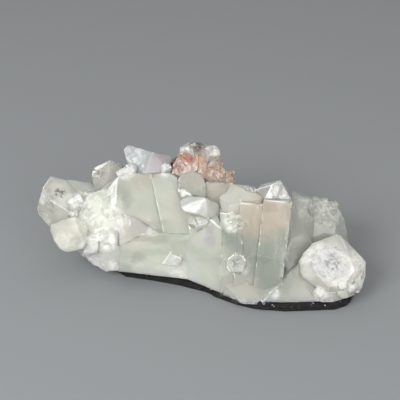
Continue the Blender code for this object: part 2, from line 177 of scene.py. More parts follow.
# %% Whole crystals
PRISMS = (
    # the ridge, left of the middle
    ("peach_face", (7, 6, 33), (0.05, 0.4, 0.9), (0, -1, 0.3), 10, 9, 24, 0.5),
    # the tall prisms right of the middle
    ("peach_prism", (18.8, -5.6, 32.4), (0.08, 0.34, 0.94), (0, -1, 0.4), 9.2, 12, 34, 0),
    ("front_prism", (27.3, -5.8, 33.6), (0.1, 0.34, 0.93), (0, -1, 0.4), 10.2, 12, 34, 0),
    # the front right
    ("small_round", (12.8, -19.3, 14.1), (-0.1, -0.85, 0.5), (-0.6, 0.4, 0.7), 7, 6.5, 12, 3),
)
print(len(PRISMS), "whole crystals")

# %% [markdown]
# The other crystals crowd each other or are broken, so each is the convex solid around its
# corners. A corner inside a neighbour is never seen, and only has to reach deep enough to overlap
# it. The first of them are the broad sloping faces of the middle and the foot under them.

# %% Crowded crystals of the middle
BLOCKS = {
    # the broad sloping face in the middle and the bright face to its left
    "saddle": (
        (-33.5, 1.2, 33), (-29.5, 3.5, 36.5), (-26, 4.5, 37.5), (-18, 5, 36.5), (-14, -7.5, 20),
        (-15, -9, 16), (-31, -4.8, 26), (-29, -10.8, 16), (-40, 14, 24), (-16, 16, 26),
        (-38, 12, 8), (-12, 12, 6), (-12, -4, 6), (-34, -2, 8), (-38, 8, 28),
    ),
    "bright_face": (
        (-40.5, 3, 29.5), (-33.5, 1, 33), (-31.5, -1.7, 29.5), (-30.5, -5.2, 25), (-29, -11.2, 16),
        (-36.5, -8, 16), (-42, -4.5, 14), (-45, -0.5, 21), (-46, 3, 24), (-34, 8, 26), (-44, 8, 20),
        (-32, 0, 10), (-40, 4, 8),
    ),
    # a lighter plate grown on its foot
    "step": (
        (-30.5, -5.4, 26), (-27, -5.8, 26), (-23.5, -6.4, 25.2), (-18.5, -7.5, 22.3),
        (-14, -8.6, 19.4), (-15, -9.8, 19.6), (-18, -9.5, 21), (-21, -10.3, 20.6),
        (-23.5, -10.8, 19), (-26, -12, 16.5), (-29, -12, 16.5), (-26, -3, 14), (-18, -4, 14),
    ),
    "shoulder": (
        (-18, 4.5, 37), (-11, 4.5, 37.5), (-8.5, 3.5, 36), (-8, -1, 29), (-2.5, -9, 20.5),
        (-3.5, -10.8, 18.5), (-5, -12, 14), (-12.5, -10.4, 18.5), (-14, -7.8, 19.5), (-17, 14, 30),
        (-6, 14, 30), (-14, 8, 6), (-2, 8, 6), (-2, -6, 8), (-14, -6, 8),
    ),
    # the smooth green front under them
    "green_front": (
        (-28.5, -12.3, 17), (-24.5, -11.2, 18.8), (-21.5, -10.6, 20.4), (-18, -9.8, 20.6),
        (-13.5, -10.4, 18.6), (-3.5, -10.7, 18.4), (2, -9.5, 20), (-29.5, -14, 6.6),
        (-18.5, -14.5, 6.6), (-5.5, -15, 4.6), (-2.5, -15.3, 3.8), (-30, 4, 4), (-2.5, 6, 2.2),
        (0, 4, 18), (-26, 2, 16),
    ),
    "rough_foot": (
        (-46, -4, 9), (-41, -7, 5.5), (-35, -9.5, 3), (-29.5, -12, 5.5), (-28, -11, 16),
        (-36.5, -7, 15.5), (-42, -4, 14), (-40, 4, 5), (-28, 4, 3), (-30, 0, 18), (-44, 2, 14),
    ),
    # the flat mint wall right of it
    "mint_wall": (
        (-7.8, -1.4, 28.6), (-3, -9.2, 21), (8, -12.5, 24), (8, -21.2, 2.2), (0, -16.2, 2.4),
        (-6, -14.5, 4.2), (-6, -11.5, 15.5), (8, 2, 26), (-3, 2, 24), (8, 2, 2.2), (-6, 2, 2.2),
        (2, -8, 28), (6, -8.5, 28),
    ),
    "cream_block": (
        (7, -5, 33), (11.5, -1, 36), (17.5, 0, 35), (20, 0, 34), (15.5, -6, 34), (14, -9, 33),
        (22.5, -8, 35), (10.5, -9, 32), (9, -12, 22), (14, -14, 22), (21, 4, 24), (6, 2, 24),
    ),
    "recess": (
        (7, -9.5, 29.5), (14.5, -12, 30), (15, -17, 20.5), (16.5, -21, 5), (7.5, -21.3, 2.2),
        (8, -14, 19), (7, 4, 26), (20, 4, 26), (7, 4, 3), (20, 4, 3),
    ),
    "white_tip": (
        (28.5, -4, 39.5), (25.5, -6.5, 39.3), (22, -4.5, 38), (20, -5, 36.5), (23, -9, 35),
        (32, -7.5, 34), (25.5, -9.5, 35.5), (22, -6, 28), (32, -5, 28), (28, 2, 30), (31, 0, 34),
        (24, 0, 36),
    ),
}
print(len(BLOCKS), "crowded crystals in the middle")

# %% [markdown]
# The clear prisms stand behind the ridge, and the blocky end crystals close it on the left. The
# bright crystal and the dome sit on the ridge, and a smoky wall runs down behind the tall prisms.

# %% Crowded crystals behind, at the left end and on the ridge
BLOCKS |= {
    # behind on the left and on the right
    "lilac_prism": (
        (-28.5, 17, 40), (-27, 18, 41.5), (-17.5, 11, 42.3), (-11, 13, 39.5), (-10.5, 11, 37.5),
        (-11, 8.5, 35), (-20, 6.5, 36), (-25.5, 10.5, 34), (-27.5, 14, 38), (-24, 24, 35),
        (-13, 22, 33), (-24, 20, 27), (-13, 16, 27), (-20, 8, 30),
    ),
    "grey_prism": (
        (-39, 10, 36.5), (-33, 11, 39), (-29.5, 12, 35), (-31, 9, 32.5), (-34.5, 6, 31),
        (-39, 6, 29), (-40, 8.5, 34.5), (-38, 17, 32), (-29, 18, 33), (-38, 14, 16), (-28, 14, 16),
        (-37, 6, 18), (-31, 8, 18),
    ),
    "back_shoulder": (
        (40, 1, 28.5), (48, 2.5, 26.5), (50, 2, 26), (53, -1.5, 21.5), (41, -7, 23.5),
        (49, -6.5, 21.5), (54.5, -7, 14), (49, -13, 11), (40, -13.2, 14.5), (41, 12, 22),
        (50, 12, 21), (55, 6, 14), (42, -6, 5), (54, -4, 5), (42, 10, 5), (53, 8, 5),
    ),
    # the left end
    "end_block": (
        (-55, 8, 34), (-49.5, 8, 32), (-47.5, 2.5, 30), (-54.5, 0, 28.5), (-57.5, 4, 31.5),
        (-60, 1.5, 24), (-59.5, 0.5, 22), (-55, -2.5, 18), (-45, -1, 22), (-44, 3, 28.5),
        (-56, 12, 26), (-44, 14, 26), (-44, 10, 12), (-54, 8, 16),
    ),
    "end_ridge": (
        (-49.5, 9, 32), (-41, 9, 30.5), (-37, 6, 29), (-48, 3, 28.5), (-42, 2, 26), (-50, 14, 24),
        (-36, 16, 24), (-46, 6, 12), (-36, 6, 10), (-36, 14, 10),
    ),
    # the bright crystal on the ridge, and the clear dome behind it
    "cube": (
        (-7, -6, 32.5), (-3, -5, 34), (2, -8.5, 35), (7, -6, 30.5), (7, -8, 26.5), (2.5, -12, 29),
        (-1.5, -11, 30), (-5.5, -9.5, 30), (-7, -8, 31), (-4, 0, 26), (4, 0, 26), (2, -6, 22),
    ),
    "dome": (
        (-7, 3.5, 37.5), (-4.5, 4.5, 38), (-1.5, 4.5, 38), (1, 3, 36.5), (2, 1, 35), (2, -3, 32),
        (-3, -3.5, 33), (-7, -3, 31), (-8, -1, 33.5), (-8, 1.5, 36), (-6, 10, 32), (2, 10, 32),
        (-6, 2, 20), (2, 2, 20),
    ),
    # a low square plate on the green front
    "corner_plate": (
        (-11, -13.3, 14.5), (-6.5, -13.9, 12.5), (-7.5, -15, 9.5), (-14, -14.5, 10.5), (-9, -8, 13),
        (-11, -8, 9),
    ),
    # the smoky wall right of the tall prisms
    "side_face": (
        (32, -8.5, 33.2), (37, -4, 32), (40.5, -2.5, 30.5), (41, -8, 23), (40, -12.5, 18),
        (36, -15, 11.5), (31, -18.5, 10), (29.5, -17.5, 13.5), (32.5, -13.5, 22.5), (34, 4, 30),
        (41, 4, 28), (42, 2, 8), (32, 2, 8),
    ),
    "end_knob": (
        (-45.5, -4, 24), (-42, -6.5, 20), (-41.5, -8.5, 16.5), (-42, -10, 14), (-48.5, -11, 13),
        (-51, -10, 14), (-53, -8.5, 16.5), (-54.5, -6.5, 19.5), (-54, -5.5, 21.5), (-50, -4.5, 23),
        (-48.5, -9, 23.3), (-44.5, -8.5, 24), (-42.5, -10.5, 20.5), (-46.5, -11.5, 19),
        (-48.5, 1.5, 18), (-44.5, -0.5, 15), (-45.5, -3, 11), (-51.5, -3, 11), (-53.5, -0.5, 15),
        (-40, 2, 18),
    ),
}
print(len(BLOCKS), "crowded crystals so far")

# %% [markdown]
# The front right is broken: a slab and a lobe lie low against the rock, and the large round
# crystal over them has so many small faces that it looks like a ball.

# %% Broken crystals of the front right
BLOCKS |= {
    "slab": (
        (22.5, -20, 6), (37, -14.5, 12.5), (42, -20, 8), (46, -25.2, 4.2), (44, -26.6, 3.0),
        (26, -26.9, 3.2), (22, -27, 3.0), (20, -12, 4), (42, -10, 4), (31, -27.5, 3.2),
    ),
    "lobe": (
        (7.5, -19, 6.5), (16, -21, 7), (23.5, -23, 5), (16, -28, 1.5), (8.6, -22.5, 1.5),
        (23, -28.5, 1.5), (7.2, -12, 1), (22, -14, 1),
    ),
    "ball": (
        (35, -19, 15), (35.5, -21.5, 11.5), (36.5, -22.5, 10), (40, -23.5, 8.5),
        (36.5, -17.5, 17.5), (40, -15.5, 20.5), (46, -14.5, 22.5), (48.5, -13.5, 23),
        (50, -14, 22.5), (53, -15.5, 20), (57.5, -18, 16), (58.85, -18.5, 14.5), (58.85, -21, 10),
        (57.5, -23.5, 6.5), (54, -25, 5), (45, -26, 5), (39, -22, 18.5), (42, -20.5, 21),
        (47.5, -20, 21.5), (52.5, -22, 19), (54, -24.5, 15), (51, -26.5, 11.5), (45.5, -27.5, 10),
        (40.5, -25, 13.5), (42, -10, 11), (51, -7, 16), (57, -10.5, 10.5), (54, -12, 5),
    ),
    # a flat crystal in the gap beside the knob at the left end
    "knob_gap": (
        (-42.5, -8.6, 17.5), (-37, -8, 16.5), (-37.5, -8.8, 11), (-43, -7.8, 9), (-42, -2, 18),
        (-37, -2, 18), (-42, -2, 9), (-37, -2, 9),
    ),
    "ball_foot": (
        (41, -25.5, 6), (43, -27, 2.8), (47, -27, 3), (51, -25.8, 3.8), (55, -24, 3.5),
        (57.5, -20, 5), (56, -12, 4), (42, -10, 3), (44, -12, 12), (54, -14, 12), (53, -25.5, 7),
        (46, -27.5, 7),
    ),
}
print(len(BLOCKS), "crowded or broken crystals in all")

# %% [markdown]
# The back is closed by stout prisms that lean away from the middle. Each carries smaller prisms
# that grew parallel to it, which is how apophyllite makes its stepped faces, and small crystals sit
# on the big ones all round.

# %% The back, its ledges and the small crystals
BACK_PRISMS = (
    ("back_left", (-31, 17, 24), (-0.2, 0.62, 0.75), (0.2, 1, 0), 14, 11, 20, 3),
    ("back_low_left", (-42, 13, 17), (-0.5, 0.55, 0.6), (0.2, 1, 0), 11, 10, 14, 3),
    ("back_middle", (-8, 17, 25), (0.1, 0.66, 0.75), (-0.2, 1, 0), 16, 12, 22, 3),
    ("back_low", (-20, 20, 13), (-0.1, 0.85, 0.5), (0.1, 1, 0), 13, 10, 14, 4),
    ("back_right", (13, 15, 25), (0.1, 0.6, 0.8), (0.1, 1, 0), 14, 12, 22, 3),
    ("back_low_right", (3, 19, 13), (0.1, 0.85, 0.5), (0.1, 1, 0), 12, 10, 14, 3),
    ("back_far_right", (29, 12.5, 22), (0.15, 0.55, 0.8), (0.2, 1, 0), 15, 12, 22, 4),
    ("back_corner", (42, 11, 15), (0.4, 0.7, 0.6), (0.4, 1, 0), 12, 11, 14, 4),
)
# how far along the face, out of it and below the crown, then width, depth, as shares of the prism
LEDGES = (
    (-0.34, 0.08, 0.14, 0.42, 0.70),
    (0.30, 0.13, 0.30, 0.46, 0.55),
    (0.02, 0.18, 0.52, 0.60, 0.60),
)
LEDGE_LENGTH = 0.85  # as a share of the prism, measured from its crown
SMALL_PRISMS = (
    ("white_chip_left", (-28.3, 7, 37), (-0.3, 0, 0.95), (0.3, -0.9, 0), 5.2, 3.5, 6, 1.2),
    ("white_chip_inner", (-24.5, 8.5, 38), (0.2, 0.1, 0.95), (-0.3, -0.9, 0), 3.5, 4, 6, 1),
    ("white_chip_right", (-12, 8, 38.3), (0.3, -0.2, 0.9), (0.5, -0.8, 0), 3.2, 2.6, 6, 0.8),
    ("ridge_chip_left", (-46.3, 1.4, 28.4), (-0.25, -0.2, 0.95), (0.4, -0.9, 0), 5.6, 3.8, 5, 0.6),
    ("ridge_chip_right", (-42.6, 1.4, 26.6), (-0.1, -0.3, 0.95), (0.5, -0.9, 0), 4, 3.4, 5, 0.5),
    ("under_cube", (0.5, -10.5, 27), (0.1, -0.5, 0.85), (0.4, -0.9, 0), 4.5, 4, 8, 1.5),
    ("under_cube_left", (-2.5, -9.5, 26.5), (-0.3, -0.4, 0.85), (-0.5, -0.8, 0), 3.5, 3.5, 7, 1.2),
    ("crust_crystal", (13, -11, 29), (-0.1, -0.5, 0.85), (-0.6, -0.8, 0), 4, 3.6, 8, 1.2),
    ("crust_crystal_low", (12, -12, 24.5), (0.2, -0.6, 0.7), (-0.3, -0.8, 0), 3.6, 3.2, 7, 1.2),
    ("foot_chip", (42.2, -26.4, 7.6), (0.2, -0.6, 0.8), (-0.5, -0.8, 0), 3.6, 3.2, 5, 0.5),
    ("foot_bump_left", (49.8, -27.4, 11), (0.2, -0.7, 0.6), (0.2, -0.6, -0.8), 3.4, 3, 5, 0.8),
    ("foot_bump_right", (53.4, -26.4, 9.4), (0.4, -0.7, 0.5), (0.2, -0.6, -0.8), 3.8, 3.2, 5, 0.8),
    ("foot_bump_low", (50.2, -27.6, 7), (0.1, -0.9, 0.3), (0.2, -0.3, -0.9), 3.6, 3.4, 5, 0.6),
    ("foot_bump_end", (56.2, -24, 7.2), (0.8, -0.4, 0.4), (0.4, -0.6, -0.8), 3.4, 3, 5, 0.6),
    ("top_bump_left", (42, 2, 28.2), (0.1, 0.1, 0.95), (0.3, -0.9, 0), 3.2, 2.6, 5, 0.6),
    ("top_bump_middle", (45.4, 2.4, 27.3), (-0.1, 0.1, 0.95), (-0.2, -0.9, 0), 2.8, 2.6, 5, 0.6),
    ("top_bump_right", (49.2, 1.8, 26.3), (0.2, 0.1, 0.95), (0.4, -0.9, 0), 3.2, 2.6, 5, 0.6),
)


def ledge_forms(crown, axis, facing, width, depth, length, corner):
    """The smaller prisms that have grown parallel to a prism, stepped out of its broad face."""
    turn = turned(axis, facing)
    for along, out, drop, wide, deep in LEDGES:
        stand_out = (out + (1 - deep) / 2) * depth
        place = Vector(crown) + turn @ Vector((along * width, -stand_out, -drop * length))
        size = (wide * width, deep * depth, length * (LEDGE_LENGTH - drop), corner * wide)
        yield place, axis, facing, *size


print(len(BACK_PRISMS), "prisms behind,", len(SMALL_PRISMS), "small crystals")

# %% [markdown]
# A crystal grows in layers, and the last ones stop short of the edge, so the broad faces of some
# crystals carry low terraces. Each terrace is the face's own outline, shrunk towards a place near
# its middle and raised a fraction of a millimetre. It could be painted with a bump, but real steps
# catch the light from every side.

# %% Layers on a broad face
LAYERED = ("back_", "end_ridge", "white_chip")  # how the names of the terraced crystals begin
LEAST_FACE = 22.0  # mm2: smaller faces stay plain
STEP_SHARES = (0.86, 0.6, 0.36)
STEP_COUNTS = (1, 2, 2, 3)
STEP_RISE = (0.05, 0.12)
STEP_SPREAD = (0.85, 1.05)  # how far a step's share of the face wanders
STEP_HEART = (0.2, 0.75)  # how far from the face's middle to a corner a step is centred
FOOT_FLARE, FOOT_DEPTH = 1.03, 0.8  # a step's foot is a little wider, and sunk in the crystal
CREASE = 22  # degrees: edges sharper than this are real edges


def terraces(shape, dice):
    """Low plates on the broad faces of one crystal, as convex shapes."""
    plates = []
    for face in shape.faces:
        if face.calc_area() < LEAST_FACE or len(face.verts) < 4:
            continue
        middle = face.calc_center_median()
        corner = dice.choice([vert.co for vert in face.verts])
        rise = dice.uniform(*STEP_RISE)
        lift = 0.0
        for share in STEP_SHARES[: dice.choice(STEP_COUNTS)]:
            share *= dice.uniform(*STEP_SPREAD)
            heart = middle.lerp(corner, dice.uniform(*STEP_HEART))
            outline = [heart + (vert.co - heart) * share for vert in face.verts]
            lift += rise
            top = [point + face.normal * lift for point in outline]
            sunk = face.normal * FOOT_DEPTH
            foot = [heart + (point - heart) * FOOT_FLARE - sunk for point in outline]
            plates.append(hull(top + foot))
    return plates


def softened(shape, width):
    """Rounds the sharp edges of a shape a little, as wear does."""
    edges = [edge for edge in shape.edges if edge.calc_face_angle(0) > math.radians(CREASE)]
    round_off = {"offset": width, "segments": 2, "profile": 0.55, "clamp_overlap": True}
    bmesh.ops.bevel(shape, geom=edges, affect="EDGES", **round_off)
    return shape


print("faces over", LEAST_FACE, "mm2 get up to", len(STEP_SHARES), "terraces")

# %% [markdown]
# The mass is one solid: every crystal overlaps its neighbours and a Boolean union joins them. The
# shapes meet at shallow angles, which the exact solver doesn't close reliably, and every shape is
# closed to begin with, so the manifold solver does it. The clearest crystals are kept out of this
# union, because they get a glassy finish of their own.

# %% Join the crystals into one solid
CLEAR = (
    "lilac_prism", "grey_prism", "white_tip", "end_block",
    "end_ridge", "back_shoulder", "side_face", "dome",
)
SOFT_EDGES = (0.05, 0.14)  # mm: how wide a crystal's edges are rounded


def combine(thing, tools, operation):
    """Joins objects to another, or cuts them out of it, with one Boolean, which is then applied."""
    group = bpy.data.collections.new(f"{thing.name}_tools")
    bpy.context.scene.collection.children.link(group)
    for tool in tools:
        for home in list(tool.users_collection):
            home.objects.unlink(tool)
        group.objects.link(tool)
    boolean = thing.modifiers.new("combine", "BOOLEAN")
    boolean.operation = operation
    boolean.operand_type = "COLLECTION"
    boolean.collection = group
    boolean.solver = "MANIFOLD"
    bpy.context.view_layer.update()
    evaluated = thing.evaluated_get(bpy.context.evaluated_depsgraph_get())
    result = bpy.data.meshes.new_from_object(evaluated)
    thing.modifiers.clear()
    thing.data = result
    for tool in list(group.objects):
        bpy.data.objects.remove(tool)
    bpy.data.collections.remove(group)
    return thing


def fused(name, shapes):
    """One solid object of overlapping shapes."""
    parts = [to_object(f"{name}_{number}", shape) for number, shape in enumerate(shapes)]
    parts[0].name = name
    return combine(parts[0], parts[1:], "UNION")


def cut_off_below(thing, level):
    """Cuts an object flat at a level."""
    block = bmesh.new()
    bmesh.ops.create_cube(block, size=2.0)
    reach, drop = 100.0, 40.0
    for vert in block.verts:
        height = level if vert.co.z > 0 else level - drop
        vert.co = (vert.co.x * reach, vert.co.y * reach, height)
    return combine(thing, [to_object("level_cut", block)], "DIFFERENCE")


def crystal_points():
    """Every crystal of the mass by name, as its corners."""
    forms = {}
    for name, *form in BACK_PRISMS:
        for number, ledge in enumerate(ledge_forms(*form)):
            forms[f"{name}_ledge_{number}"] = prism_corners(*ledge)
    for name, *form in PRISMS + BACK_PRISMS + SMALL_PRISMS:
        forms[name] = prism_corners(*form)
    forms.update(BLOCKS)
    return forms


dice = random.Random(11)
milky_shapes = []
clear_shapes = []
for name, points in crystal_points().items():
    shape = hull(points)
    group = clear_shapes if name in CLEAR else milky_shapes
    if name.startswith(LAYERED):
        group.extend(terraces(shape, dice))
    group.append(softened(shape, dice.uniform(*SOFT_EDGES)))
print(len(milky_shapes), "shapes in the mass,", len(clear_shapes), "in the clear crystals")
mass = cut_off_below(fused("apophyllite_mass", milky_shapes), BED)
print("the mass has", len(mass.data.polygons), "faces")

# %% [markdown]
# Flat CAD faces look like cut glass. Real faces swell a little, their edges are chipped, and some
# places are pitted or broken. For that the surface needs points to move, so long edges are split
# until none is longer than a limit. Remeshing to voxels would be shorter, but it would round off
# the crisp faces. A triangle is cut at the middles of its marked edges, and all triangles that are
# marked alike are cut in one go, because a loop over each of them would be slow.

# %% Split the faces finely
# the new triangles for one, two or three marked edges: 0 to 2 are corners, 3 to 5 edge middles
NEW_TRIANGLES = {
    1: ((0, 3, 2), (3, 1, 2)),
    2: ((3, 1, 4), (0, 3, 4), (0, 4, 2)),
    3: ((0, 3, 5), (3, 1, 4), (5, 4, 2), (3, 4, 5)),
}


def plane_triangles(mesh):
    """The points of a mesh in millimetres, and its triangles as three point numbers each."""
    points = np.empty(len(mesh.vertices) * 3)
    mesh.vertices.foreach_get("co", points)
    mesh.calc_loop_triangles()
    corners = np.empty(len(mesh.loop_triangles) * 3, dtype=np.int64)
    mesh.loop_triangles.foreach_get("vertices", corners)
    return points.reshape(-1, 3) / MM + np.array(CENTRE), corners.reshape(-1, 3)


def halved(corners, middles):
    """Splits triangles at the middles of their marked edges, which are -1 where unmarked."""
    marked = (middles >= 0).sum(axis=1)
    out = [corners[marked == 0]]
    for count in (1, 2):
        for turn in range(3):
            # turn each triangle until its marked edges come first
            t, m = np.roll(corners, -turn, axis=1), np.roll(middles, -turn, axis=1)
            first = (m[:, 0] >= 0) & (m[:, 2] < 0) & ((m[:, 1] >= 0) == (count == 2))
            both = np.concatenate((t, m), axis=1)[first & (marked == count)]
            out += [both[:, list(new)] for new in NEW_TRIANGLES[count]]
    both = np.concatenate((corners, middles), axis=1)[marked == 3]
    out += [both[:, list(new)] for new in NEW_TRIANGLES[3]]
    return np.concatenate(out)


def split_finely(thing, longest, fine=(), finest=None):
    """Splits edges until none is over the limit, in millimetres, or over a finer one in places."""
    points, corners = plane_triangles(thing.data)
    while True:
        pairs = np.sort(corners[:, [[0, 1], [1, 2], [2, 0]]].reshape(-1, 2), axis=1)
        keys, which = np.unique(pairs[:, 0] * len(points) + pairs[:, 1], return_inverse=True)
        edges = np.stack((keys // len(points), keys % len(points)), axis=1)
        which = which.reshape(-1, 3)
        middles = points[edges].mean(axis=1)
        lengths = np.linalg.norm(points[edges[:, 0]] - points[edges[:, 1]], axis=1)
        limit = np.full(len(edges), float(longest))
        for middle, radius, *_ in fine:
            limit[np.linalg.norm(middles - np.array(middle), axis=1) < radius] = finest
        split = lengths > limit
        # a triangle with any split edge splits its longest one too, which keeps it stout
        longest_side = which[np.arange(len(which)), lengths[which].argmax(axis=1)]
        for _ in range(4):
            split[longest_side[split[which].any(axis=1)]] = True
        if not split.any():
            break
        numbers = np.full(len(edges), -1)
        numbers[split] = len(points) + np.arange(split.sum())
        points = np.concatenate((points, middles[split]))
        corners = halved(corners, numbers[which])
    mesh = bpy.data.meshes.new(thing.data.name)
    mesh.from_pydata((points - np.array(CENTRE)) * MM, [], corners)
    mesh.update()
    thing.data = mesh
    print(thing.name, "now has", len(corners), "triangles")


# middle of each broken patch, its radius, its depth, and the size of its cells
BROKEN = (
    ((-42, -5, 9), 9, 0.5, 1.6),
    ((-33, -9, 7), 7, 0.35, 1.4),
    ((45.5, -22.8, 17.3), 6, 0.25, 1.2),
    ((54, -24.5, 8), 5, 0.9, 1.3),
    ((13, -12, 27), 4.5, 0.5, 1.2),
    ((20, -3, 35), 5, 0.5, 1.2),
)

split_finely(mass, longest=1.6, fine=BROKEN, finest=0.75)

# %% [markdown]
# The relief has three parts: a slow swell everywhere, chips along the sharp edges, and broken or
# pitted patches in named places. Small steps in the broken patches follow square cells turned the
# way that the crystals stand, so they read as split crystal and not as rubble. The same pass
# stores how close each point is to a sharp edge, because edges are painted as pale lines, partly
# wear and partly painted glints.

# %% Swell, chips and broken patches
GRAIN_TURN = turned((0.05, 0.4, 0.9), (0.0, -1.0, 0.4)).to_3x3().inverted()
SLOW_WAVES, QUICK_WAVES = 0.22, 0.9  # for each millimetre
QUICK_SHARE = 0.35
CHIP_WAVES, CHIP_SHIFT = 0.8, Vector((31, 7, 3))  # shifted, so that chips don't follow the swell
CHIP_FROM, CHIP_GAIN = 0.12, 2.2
PIT_WAVES, PIT_SHARE, STEP_SHARE = 0.55, 0.9, 0.6
# the finish paints these edges white, as wear and as painted glints
WEAR_ANGLE = 15  # degrees: outward edges sharper than this are chipped and worn


def move_along_normals(thing, rule):
    """Moves every point along its normal by what a rule on its place gives, in millimetres."""
    normals = [vert.normal.copy() for vert in thing.data.vertices]
    for vert, normal in zip(thing.data.vertices, normals):
        vert.co += normal * rule(on_stone(vert.co)) * MM


def sharp_points(mesh, least_angle):
    """For each point, 1 on a sharp outward edge and 0 elsewhere."""
    shape = bmesh.new()
    shape.from_mesh(mesh)
    near = np.zeros(len(shape.verts))
    for edge in shape.edges:
        if edge.calc_face_angle_signed(0) > math.radians(least_angle):
            for vert in edge.verts:
                near[vert.index] = 1.0
    shape.free()
    return near


def relief_at(place, swell, chip):
    """How far the surface stands out at a place, in millimetres."""
    move = swell * noise.noise(place * SLOW_WAVES)
    move += QUICK_SHARE * swell * noise.noise(place * QUICK_WAVES)
    if chip:
        bite = noise.noise(place * CHIP_WAVES + CHIP_SHIFT)
        move -= chip * max(0.0, bite - CHIP_FROM) * CHIP_GAIN
    for middle, radius, depth, cell in BROKEN:
        away = (place - Vector(middle)).length / radius
        if away < 1.0:
            block = noise.cell(GRAIN_TURN @ place / cell)
            pit = max(0.0, noise.noise(place * PIT_WAVES))
            move -= depth * (1 - away * away) * (STEP_SHARE * block + PIT_SHARE * pit)
    return move


def add_relief(thing, swell, chip):
    """Moves every point of a mesh along its normal, and stores how near it is to a sharp edge."""
    mesh = thing.data
    edge_share = sharp_points(mesh, WEAR_ANGLE)
    normals = [vert.normal.copy() for vert in mesh.vertices]
    for vert, normal, sharp in zip(mesh.vertices, normals, edge_share):
        vert.co += normal * relief_at(on_stone(vert.co), swell, chip if sharp else 0) * MM
    stored = mesh.attributes.new("edge_wear", "FLOAT", "POINT")
    stored.data.foreach_set("value", edge_share.astype(np.float32))


def shade(thing, sharp_angle=CREASE):
    """Smooth shading that stays crisp across edges sharper than the angle."""
    thing.data.shade_smooth()
    thing.data.set_sharp_from_angle(angle=math.radians(sharp_angle))


add_relief(mass, swell=0.09, chip=0.5)
shade(mass)
print("the mass spans, mm:", [round(side / MM, 1) for side in mass.dimensions])

# %% [markdown]
# A finish is a node tree. These helpers keep the trees short: one adds a node and plugs in its
# inputs, one mixes two colours, some do sums, one gives noise, and one moves a place about. All
# patterns read Object coordinates, turned to millimetres, so every size in a tree is a size on the
# stone.

# %% Helpers for finishes
def plug(tree, socket, value):
    """Links a socket to another, or gives it a plain value."""
    if isinstance(value, bpy.types.NodeSocket):
        tree.links.new(value, socket)
    else:
        socket.default_value = value


def plug_all(tree, node, inputs):
    """Plugs in several inputs of a node, by name or number."""
    for key, value in inputs.items():
        plug(tree, node.inputs[key], value)


def add(tree, kind, inputs=(), **settings):
    """Adds a node with its settings and its inputs."""
    node = tree.nodes.new(kind)
    for key, value in settings.items():
        setattr(node, key, value)
    plug_all(tree, node, dict(inputs))
    return node


def mixed(tree, share, under, over):
    """Two colours mixed by a share."""
    node = add(tree, "ShaderNodeMix", data_type="RGBA")
    plug_all(tree, node, {0: share, 6: under, 7: over})
    return node.outputs[2]


def sums(tree, operation, first, *others, clamp=False):
    """One sum on two numbers, or on a row of them, from the left."""
    for other in others:
        inputs = {0: first, 1: other}
        node = add(tree, "ShaderNodeMath", inputs, operation=operation, use_clamp=clamp)
        first = node.outputs[0]
    return first


def times(tree, *values):
    """Numbers multiplied."""
    return sums(tree, "MULTIPLY", *values)


def strongest(tree, *values):
    """The largest of some numbers."""
    return sums(tree, "MAXIMUM", *values)


def on_vectors(tree, operation, *vectors):
    """One sum on two or three vectors; a distance and a dot product give a number."""
    inputs = dict(enumerate(vectors))
    node = add(tree, "ShaderNodeVectorMath", inputs, operation=operation)
    return node.outputs["Value" if operation in ("DISTANCE", "DOT_PRODUCT") else "Vector"]


def axes_of(tree, vector):
    """The three numbers of a vector."""
    return add(tree, "ShaderNodeSeparateXYZ", {0: vector}).outputs


def ramp(tree, value, low, high, to_low=0.0, to_high=1.0):
    """A value between two limits, eased from 0 to 1, or between two other ends."""
    ends = {"From Min": low, "From Max": high, "To Min": to_low, "To Max": to_high}
    ends["Value"] = value
    return add(tree, "ShaderNodeMapRange", ends, interpolation_type="SMOOTHSTEP").outputs["Result"]


def millimetres(tree):
    """Object coordinates in millimetres, in the specimen's own frame."""
    place = add(tree, "ShaderNodeTexCoord").outputs["Object"]
    return on_vectors(tree, "MULTIPLY_ADD", place, (1 / MM,) * 3, CENTRE)


def cloud(tree, place, size, detail=3.0, rough=0.55, stretch=None):
    """Noise with lumps of about the given size, from 0 to 1."""
    if stretch is not None:
        place = on_vectors(tree, "MULTIPLY", place, stretch)
    inputs = {"Vector": place, "Scale": 1 / size, "Detail": detail, "Roughness": rough}
    return add(tree, "ShaderNodeTexNoise", inputs).outputs["Fac"]


def wandering(tree, place, reach, size):
    """The place moved about by noise, so that what reads it gets ragged edges."""
    inputs = {"Vector": place, "Scale": 1 / size, "Detail": 3.0}
    drift = add(tree, "ShaderNodeTexNoise", inputs).outputs["Color"]
    centred = on_vectors(tree, "SUBTRACT", drift, (0.5,) * 3)
    return on_vectors(tree, "MULTIPLY_ADD", centred, (reach,) * 3, place)


def bumped(tree, height, strength=1.0, distance=0.5 * MM):
    """A normal that is bent by a height; the distance is in metres."""
    inputs = {"Strength": strength, "Distance": distance, "Height": height}
    return add(tree, "ShaderNodeBump", inputs).outputs["Normal"]


def new_finish(name):
    """A material with its tree and its Principled node."""
    material = bpy.data.materials.new(name)
    material.use_nodes = True
    return material, material.node_tree, material.node_tree.nodes["Principled BSDF"]


def coat(thing, material):
    """Gives an object one finish."""
    thing.data.materials.clear()
    thing.data.materials.append(material)


print("one unit in a finish is", MM, "of Blender's metres")

# %% [markdown]
# Where a finish changes over the stone, it does so in spots: each has a middle, a radius and a
# strength, and its place is first moved about by noise, so that it ends in a ragged edge and not
# in a circle. The spots could be painted on the points instead, but then their edges could only be
# as fine as the mesh.

# %% Spots on the stone
SPOT_SOFTNESS, SPREAD_SOFTNESS = 0.45, 0.3  # how far a spot's edge is spread, for its radius


def spot(tree, place, middle, radius, softness=SPOT_SOFTNESS):
    """1 within a ball round a place on the specimen, and 0 outside it."""
    away = on_vectors(tree, "DISTANCE", place, middle)
    return ramp(tree, away, radius * (1 + softness), radius * (1 - softness))


